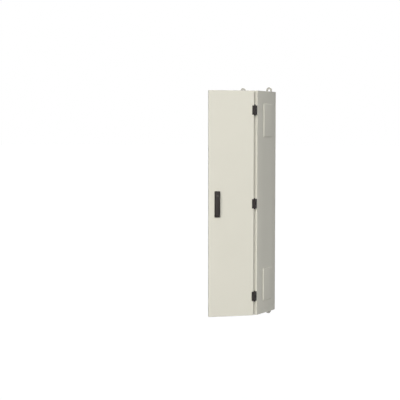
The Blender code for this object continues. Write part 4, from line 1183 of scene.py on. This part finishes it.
def handleLever():
    # superellipse sections carried up the lever: the back follows a shallow cosine arch, the underside steps
    # smoothly from over the fork down to the base, and the free end is drawn in along a quarter circle
    low, high = box = shutBox("handle_lever")
    door = shutBox("door_panel")[0][1]
    x = centreOf(box)[0]
    pivot = centreOf(shutBox("lever_pin"))
    pivotZ, pivotOut = pivot[2], door - pivot[1]
    forkLow, forkHigh = shutBox("handle_spindle")
    bottom, top = pivotZ + swingHandle["startAbovePivot"], high[2]
    z = bottom + (top - bottom) * (1 - np.cos(np.linspace(0, np.pi, 56))) / 2
    rise = swingHandle["leverPeak"] - swingHandle["leverEnd"]
    back = swingHandle["leverEnd"] + rise * np.cos(np.pi / 2 * z / swingHandle["reach"])
    overHub, floor = swingHandle["overHub"], swingHandle["floor"]
    under = overHub - (overHub - floor) * smoothStep(
        (z - forkHigh[2] - swingHandle["stepStart"]) / swingHandle["stepLength"]
    )
    past = 1 - np.minimum((top - z) / swingHandle["endRound"], 1)
    draw = np.sqrt(np.clip(1 - past**2, swingHandle["drawFloor"], 1))
    thin, slim = swingHandle["drawnThickness"], swingHandle["drawnWidth"]
    middle, thick = (back + under) / 2, (back - under) / 2 * (thin + (1 - thin) * draw)
    half = (high[0] - low[0]) / 2 * (slim + (1 - slim) * draw)
    turn = np.linspace(0, 2 * np.pi, 44, endpoint=False)
    power = 2 / swingHandle["sectionPower"]
    across, outward = (np.sign(f(turn)) * np.abs(f(turn)) ** power for f in (np.cos, np.sin))
    loops = np.stack(
        [
            x + half[:, None] * across[None],
            door - middle[:, None] - thick[:, None] * outward[None],
            np.repeat(z[:, None], len(turn), 1),
        ],
        2,
    )
    radius = swingHandle["pivotRadius"]
    a = np.linspace(np.pi / 2, 2 * np.pi + math.asin((overHub - pivotOut) / radius), 18)
    knuckle = np.stack([pivotOut + radius * np.sin(a), pivotZ + radius * np.cos(a)], 1)
    neck = [(overHub, bottom + swingHandle["neck"]), (back[0] - fit, bottom + swingHandle["neck"])]
    ear = swingHandle["ear"] + fit
    tongueOutline = np.vstack([knuckle, neck]) * (-1, 1) + (door, 0)
    tongue = extruded(tongueOutline, "x", forkLow[0] + ear, forkHigh[0] - ear)
    pinHole = circleOutline(door - pivotOut, pivotZ, swingHandle["pinHole"], 20)
    cylinder = shutBox("lock_cylinder")
    cylinderZ = centreOf(cylinder)[2]
    bore = circleOutline(x, cylinderZ, swingHandle["cylinderBore"], 36)
    wide = swingHandle["hollowHalfWidth"]
    hollowLow = forkHigh[2] + swingHandle["hollowFromFork"]
    hollowHigh = cylinderZ - swingHandle["hollowFromCylinder"]
    hollow = roundedRectangle(x - wide, hollowLow, x + wide, hollowHigh, swingHandle["hollowCorner"])
    cuts = [
        extruded(pinHole, "x", x - 2 * longOverrun, x + 2 * longOverrun),
        extruded(bore, "y", cylinder[1][1] + fit, low[1] - longOverrun),
        extruded(hollow, "y", door - floor - swingHandle["hollowDepth"], door - floor + overrun),
    ]
    shape, replaced = loft(loops), ("handle_lever",)
    piece("handle_lever_cast", shape, "blackCasting", "lever", replaced, cuts, [tongue], smooth=40)


def handleFork():
    # a rounded plate joined to two ears whose ends follow half circles round the pin, and to the turned shaft
    low, high = box = shutBox("handle_spindle")
    _, pivotY, pivotZ = centreOf(shutBox("lever_pin"))
    hubBack = shutBox("door_panel")[0][1] - swingHandle["hubBack"]
    plateLow, corner = pivotZ + swingHandle["plateAbovePivot"], swingHandle["plateCorner"]
    plateOutline = roundedRectangle(low[0], plateLow, high[0], high[2], corner)
    plate = extruded(plateOutline, "y", hubBack - swingHandle["plateGauge"], hubBack)

    turn = np.linspace(np.pi, 2 * np.pi, 13)
    middle, half = (hubBack + low[1]) / 2, (hubBack - low[1]) / 2
    ends = np.stack([middle + half * np.cos(turn), pivotZ + swingHandle["pivotRadius"] * np.sin(turn)], 1)
    atPlate, atNose = (pivotZ + above for above in swingHandle["earTop"])
    shoulder = [(hubBack, atPlate), (low[1] + swingHandle["earNose"], atPlate), (low[1], atNose)]
    ear = swingHandle["ear"]
    spans = ((low[0], low[0] + ear), (high[0] - ear, high[0]))
    joins = [extruded(np.vstack([ends, shoulder]), "x", *span) for span in spans]

    radius, chamfer = swingHandle["shaftRadius"], swingHandle["shaftChamfer"]
    sunk = swingHandle["shaftInPlate"]
    length = high[1] - hubBack + sunk
    profile = [(radius, 0), (radius, length - chamfer), (radius - chamfer, length)]
    points, faces = aimed(lathed(profile), backwards)
    joins.append((points + (centreOf(box)[0], hubBack - sunk, centreOf(shutBox("drive_pinion"))[2]), faces))

    pinOutline = circleOutline(pivotY, pivotZ, swingHandle["pinHole"], 20)
    cuts = [extruded(pinOutline, "x", low[0] - longOverrun, high[0] + longOverrun)]
    replaced, eased = ("handle_spindle",), swingHandle["forkEase"]
    piece("handle_fork_cast", plate, "blackCasting", "handle_hub", replaced, cuts, joins, eased, smooth=30)


def leverPin():
    low, high = shutBox("handle_spindle")
    _, y, z = centreOf(shutBox("lever_pin"))
    radius, chamfer, length = swingHandle["pinRadius"], swingHandle["pinChamfer"], high[0] - low[0]
    end = radius - chamfer
    profile = [(end, 0), (radius, chamfer), (radius, length - chamfer), (end, length)]
    points, faces = aimed(lathed(profile, 20), (1, 0, 0))
    piece("lever_pin_turned", (points + (low[0], y, z), faces), "blackCasting", "handle_hub", ("lever_pin",))


cylinderShape = {
    "rear": ((0.0068, 0), (0.007, 0.0002)),  # radius and height
    # heights from its front
    "face": ((0.007, -0.0006), (0.0066, 0), (0.0052, 0), (0.0050, -0.0005), (0.0048, -0.0001)),
    "slotHalf": (0.0009, 0.0036),
    "slotDepth": 0.005,
}


def lockCylinder():
    # a turned plug with a ring cut in its face and a slot for the key
    low, high = box = shutBox("lock_cylinder")
    x, _, z = centreOf(box)
    length = high[1] - low[1]
    profile = [*cylinderShape["rear"]]
    profile += [(radius, length + height) for radius, height in cylinderShape["face"]]
    points, faces = aimed(lathed(profile, 40), forwards)
    wide, tall = cylinderShape["slotHalf"]
    slotEnd = low[1] + cylinderShape["slotDepth"]
    slot = block((x - wide, low[1] - shortOverrun, z - tall), (x + wide, slotEnd, z + tall))
    plug, replaced = (points + (x, high[1], z), faces), ("lock_cylinder",)
    piece("lock_cylinder_turned", plug, "cylinderChrome", "cylinder", replaced, cuts=[slot], smooth=30)


handleBase()
handleLever()
lockCylinder()
handleFork()
leverPin()
easedCopy("lock_case", ease=0.0003, name="lock_case_folded")
for place in ("upper", "lower"):
    easedCopy(f"{place}_rod_guide", ease=0.0006)
for place in ("upper", "lower"):
    easedCopy(f"{place}_lock_rod", ease=0.00015)

lockNuts = {
    "caseNut": (0.0065, 0.0030),
    "caseNutInset": (0.0042, 0.008),  # from the case's side and end
    "studNut": (0.010, 0.0045, 0.014),
    "studHeight": 0.064,
}


def lockFasteners():
    # hexagon nuts on the lock case's feet, and one on the handle's upper fixing stud
    low, high = box = shutBox("lock_case")
    foot, end = lockNuts["caseNutInset"]
    inner = low[1] + sheet * 5 / 3
    places = [(x, inner, z) for x in (low[0] + foot, high[0] - foot) for z in (low[2] + end, high[2] - end)]
    small = repeated(aimed(hexBolt(*lockNuts["caseNut"]), backwards), places)
    large = aimed(hexBolt(*lockNuts["studNut"]), backwards)
    upper = repeated(large, [(centreOf(box)[0], low[1], lockNuts["studHeight"])])
    piece("lock_case_nuts", merged([small, upper]), "zincSteel", "door")


lockFasteners()
print("handle and lock made")

# ---- floor, lights and camera

studio = {
    "floorHeight": -1.55,
    "floorSize": 400.0,
    "floorTone": 0.30,
    "floorGlow": 0.83,
    "ambient": (0.038, 0.053, 0.092),
    "cameraPlace": (3.1261, -5.6790, 0.4105),
    "cameraDown": 3.598,
    "cameraTurn": 32.044,
    "lens": 89.52,
}
# name, degrees round from the front, degrees up, strength, spread in degrees, colour
suns = [
    ("keyLight", 24, 9, 4.50, 76, (1.0, 0.99, 0.965)),
    ("leftFill", -90, 18, 0.42, 40, (0.97, 0.985, 1.0)),
    ("backFill", 200, 30, 1.30, 30, (1.0, 1.0, 1.0)),
]


def whiteRays(tree):
    # one for what the camera sees directly, in a reflection or through glass, else zero
    paths = addNode(tree, "ShaderNodeLightPath").outputs
    white = paths["Is Camera Ray"]
    for path in ("Is Glossy Ray", "Is Transmission Ray"):
        either = addNode(tree, "ShaderNodeMath", {"operation": "MAXIMUM"}, {0: white, 1: paths[path]})
        white = either.outputs[0]
    return white


def studioWorld():
    world = bpy.data.worlds.new("studioWhite")
    world.use_nodes = True
    tree = world.node_tree
    background = tree.nodes["Background"]
    colour = addNode(
        tree,
        "ShaderNodeMix",
        {"data_type": "RGBA"},
        {"Factor": whiteRays(tree), "A": (*studio["ambient"], 1), "B": (1, 1, 1, 1)},
    )
    tree.links.new(colour.outputs["Result"], background.inputs["Color"])
    bpy.context.scene.world = world


def studioFloor():
    half = studio["floorSize"] / 2
    mesh = bpy.data.meshes.new("floor")
    height = studio["floorHeight"]
    corners = [(-half, -half, height), (half, -half, height), (half, half, height), (-half, half, height)]
    mesh.from_pydata(corners, [], [(0, 1, 2, 3)])
    floor = inScene("floor", mesh)
    material = bpy.data.materials.new("paleStudioFloor")
    material.use_nodes = True
    tree = material.node_tree
    tree.nodes.remove(tree.nodes["Principled BSDF"])
    matt = addNode(tree, "ShaderNodeBsdfDiffuse", None, {"Color": (*[studio["floorTone"]] * 3, 1)})
    glow = addNode(tree, "ShaderNodeEmission", None, {"Color": (1, 1, 1, 1)})
    amount = {"Value": whiteRays(tree), "To Max": studio["floorGlow"]}
    level = addNode(tree, "ShaderNodeMapRange", None, amount)
    tree.links.new(level.outputs["Result"], glow.inputs["Strength"])
    both = addNode(tree, "ShaderNodeAddShader", None, {0: matt.outputs[0], 1: glow.outputs[0]})
    clear = addNode(tree, "ShaderNodeBsdfTransparent")
    under = addNode(tree, "ShaderNodeNewGeometry").outputs["Backfacing"]
    mix = addNode(tree, "ShaderNodeMixShader", None, {0: under, 1: both.outputs[0], 2: clear.outputs[0]})
    tree.links.new(mix.outputs[0], tree.nodes["Material Output"].inputs["Surface"])
    mesh.materials.append(material)


def sunLight(name, turn, rise, strength, spread, colour):
    # shines from the direction (cos r sin t, -cos r cos t, sin r)
    t, r = math.radians(turn), math.radians(rise)
    source = Vector((math.cos(r) * math.sin(t), -math.cos(r) * math.cos(t), math.sin(r)))
    light = bpy.data.lights.new(name, "SUN")
    light.energy = strength
    light.angle = math.radians(spread)
    light.color = colour
    sun = inScene(name, light)
    sun.rotation_euler = (-source).to_track_quat("-Z", "Y").to_euler()


def studioCamera():
    data = bpy.data.cameras.new("camera")
    data.lens = studio["lens"]
    camera = inScene("camera", data)
    camera.location = studio["cameraPlace"]
    camera.rotation_euler = (math.radians(90 - studio["cameraDown"]), 0, math.radians(studio["cameraTurn"]))
    bpy.context.scene.camera = camera


studioWorld()
studioFloor()
for sun in suns:
    sunLight(*sun)
studioCamera()
bpy.context.scene.view_settings.view_transform = "Standard"
print("studio made")
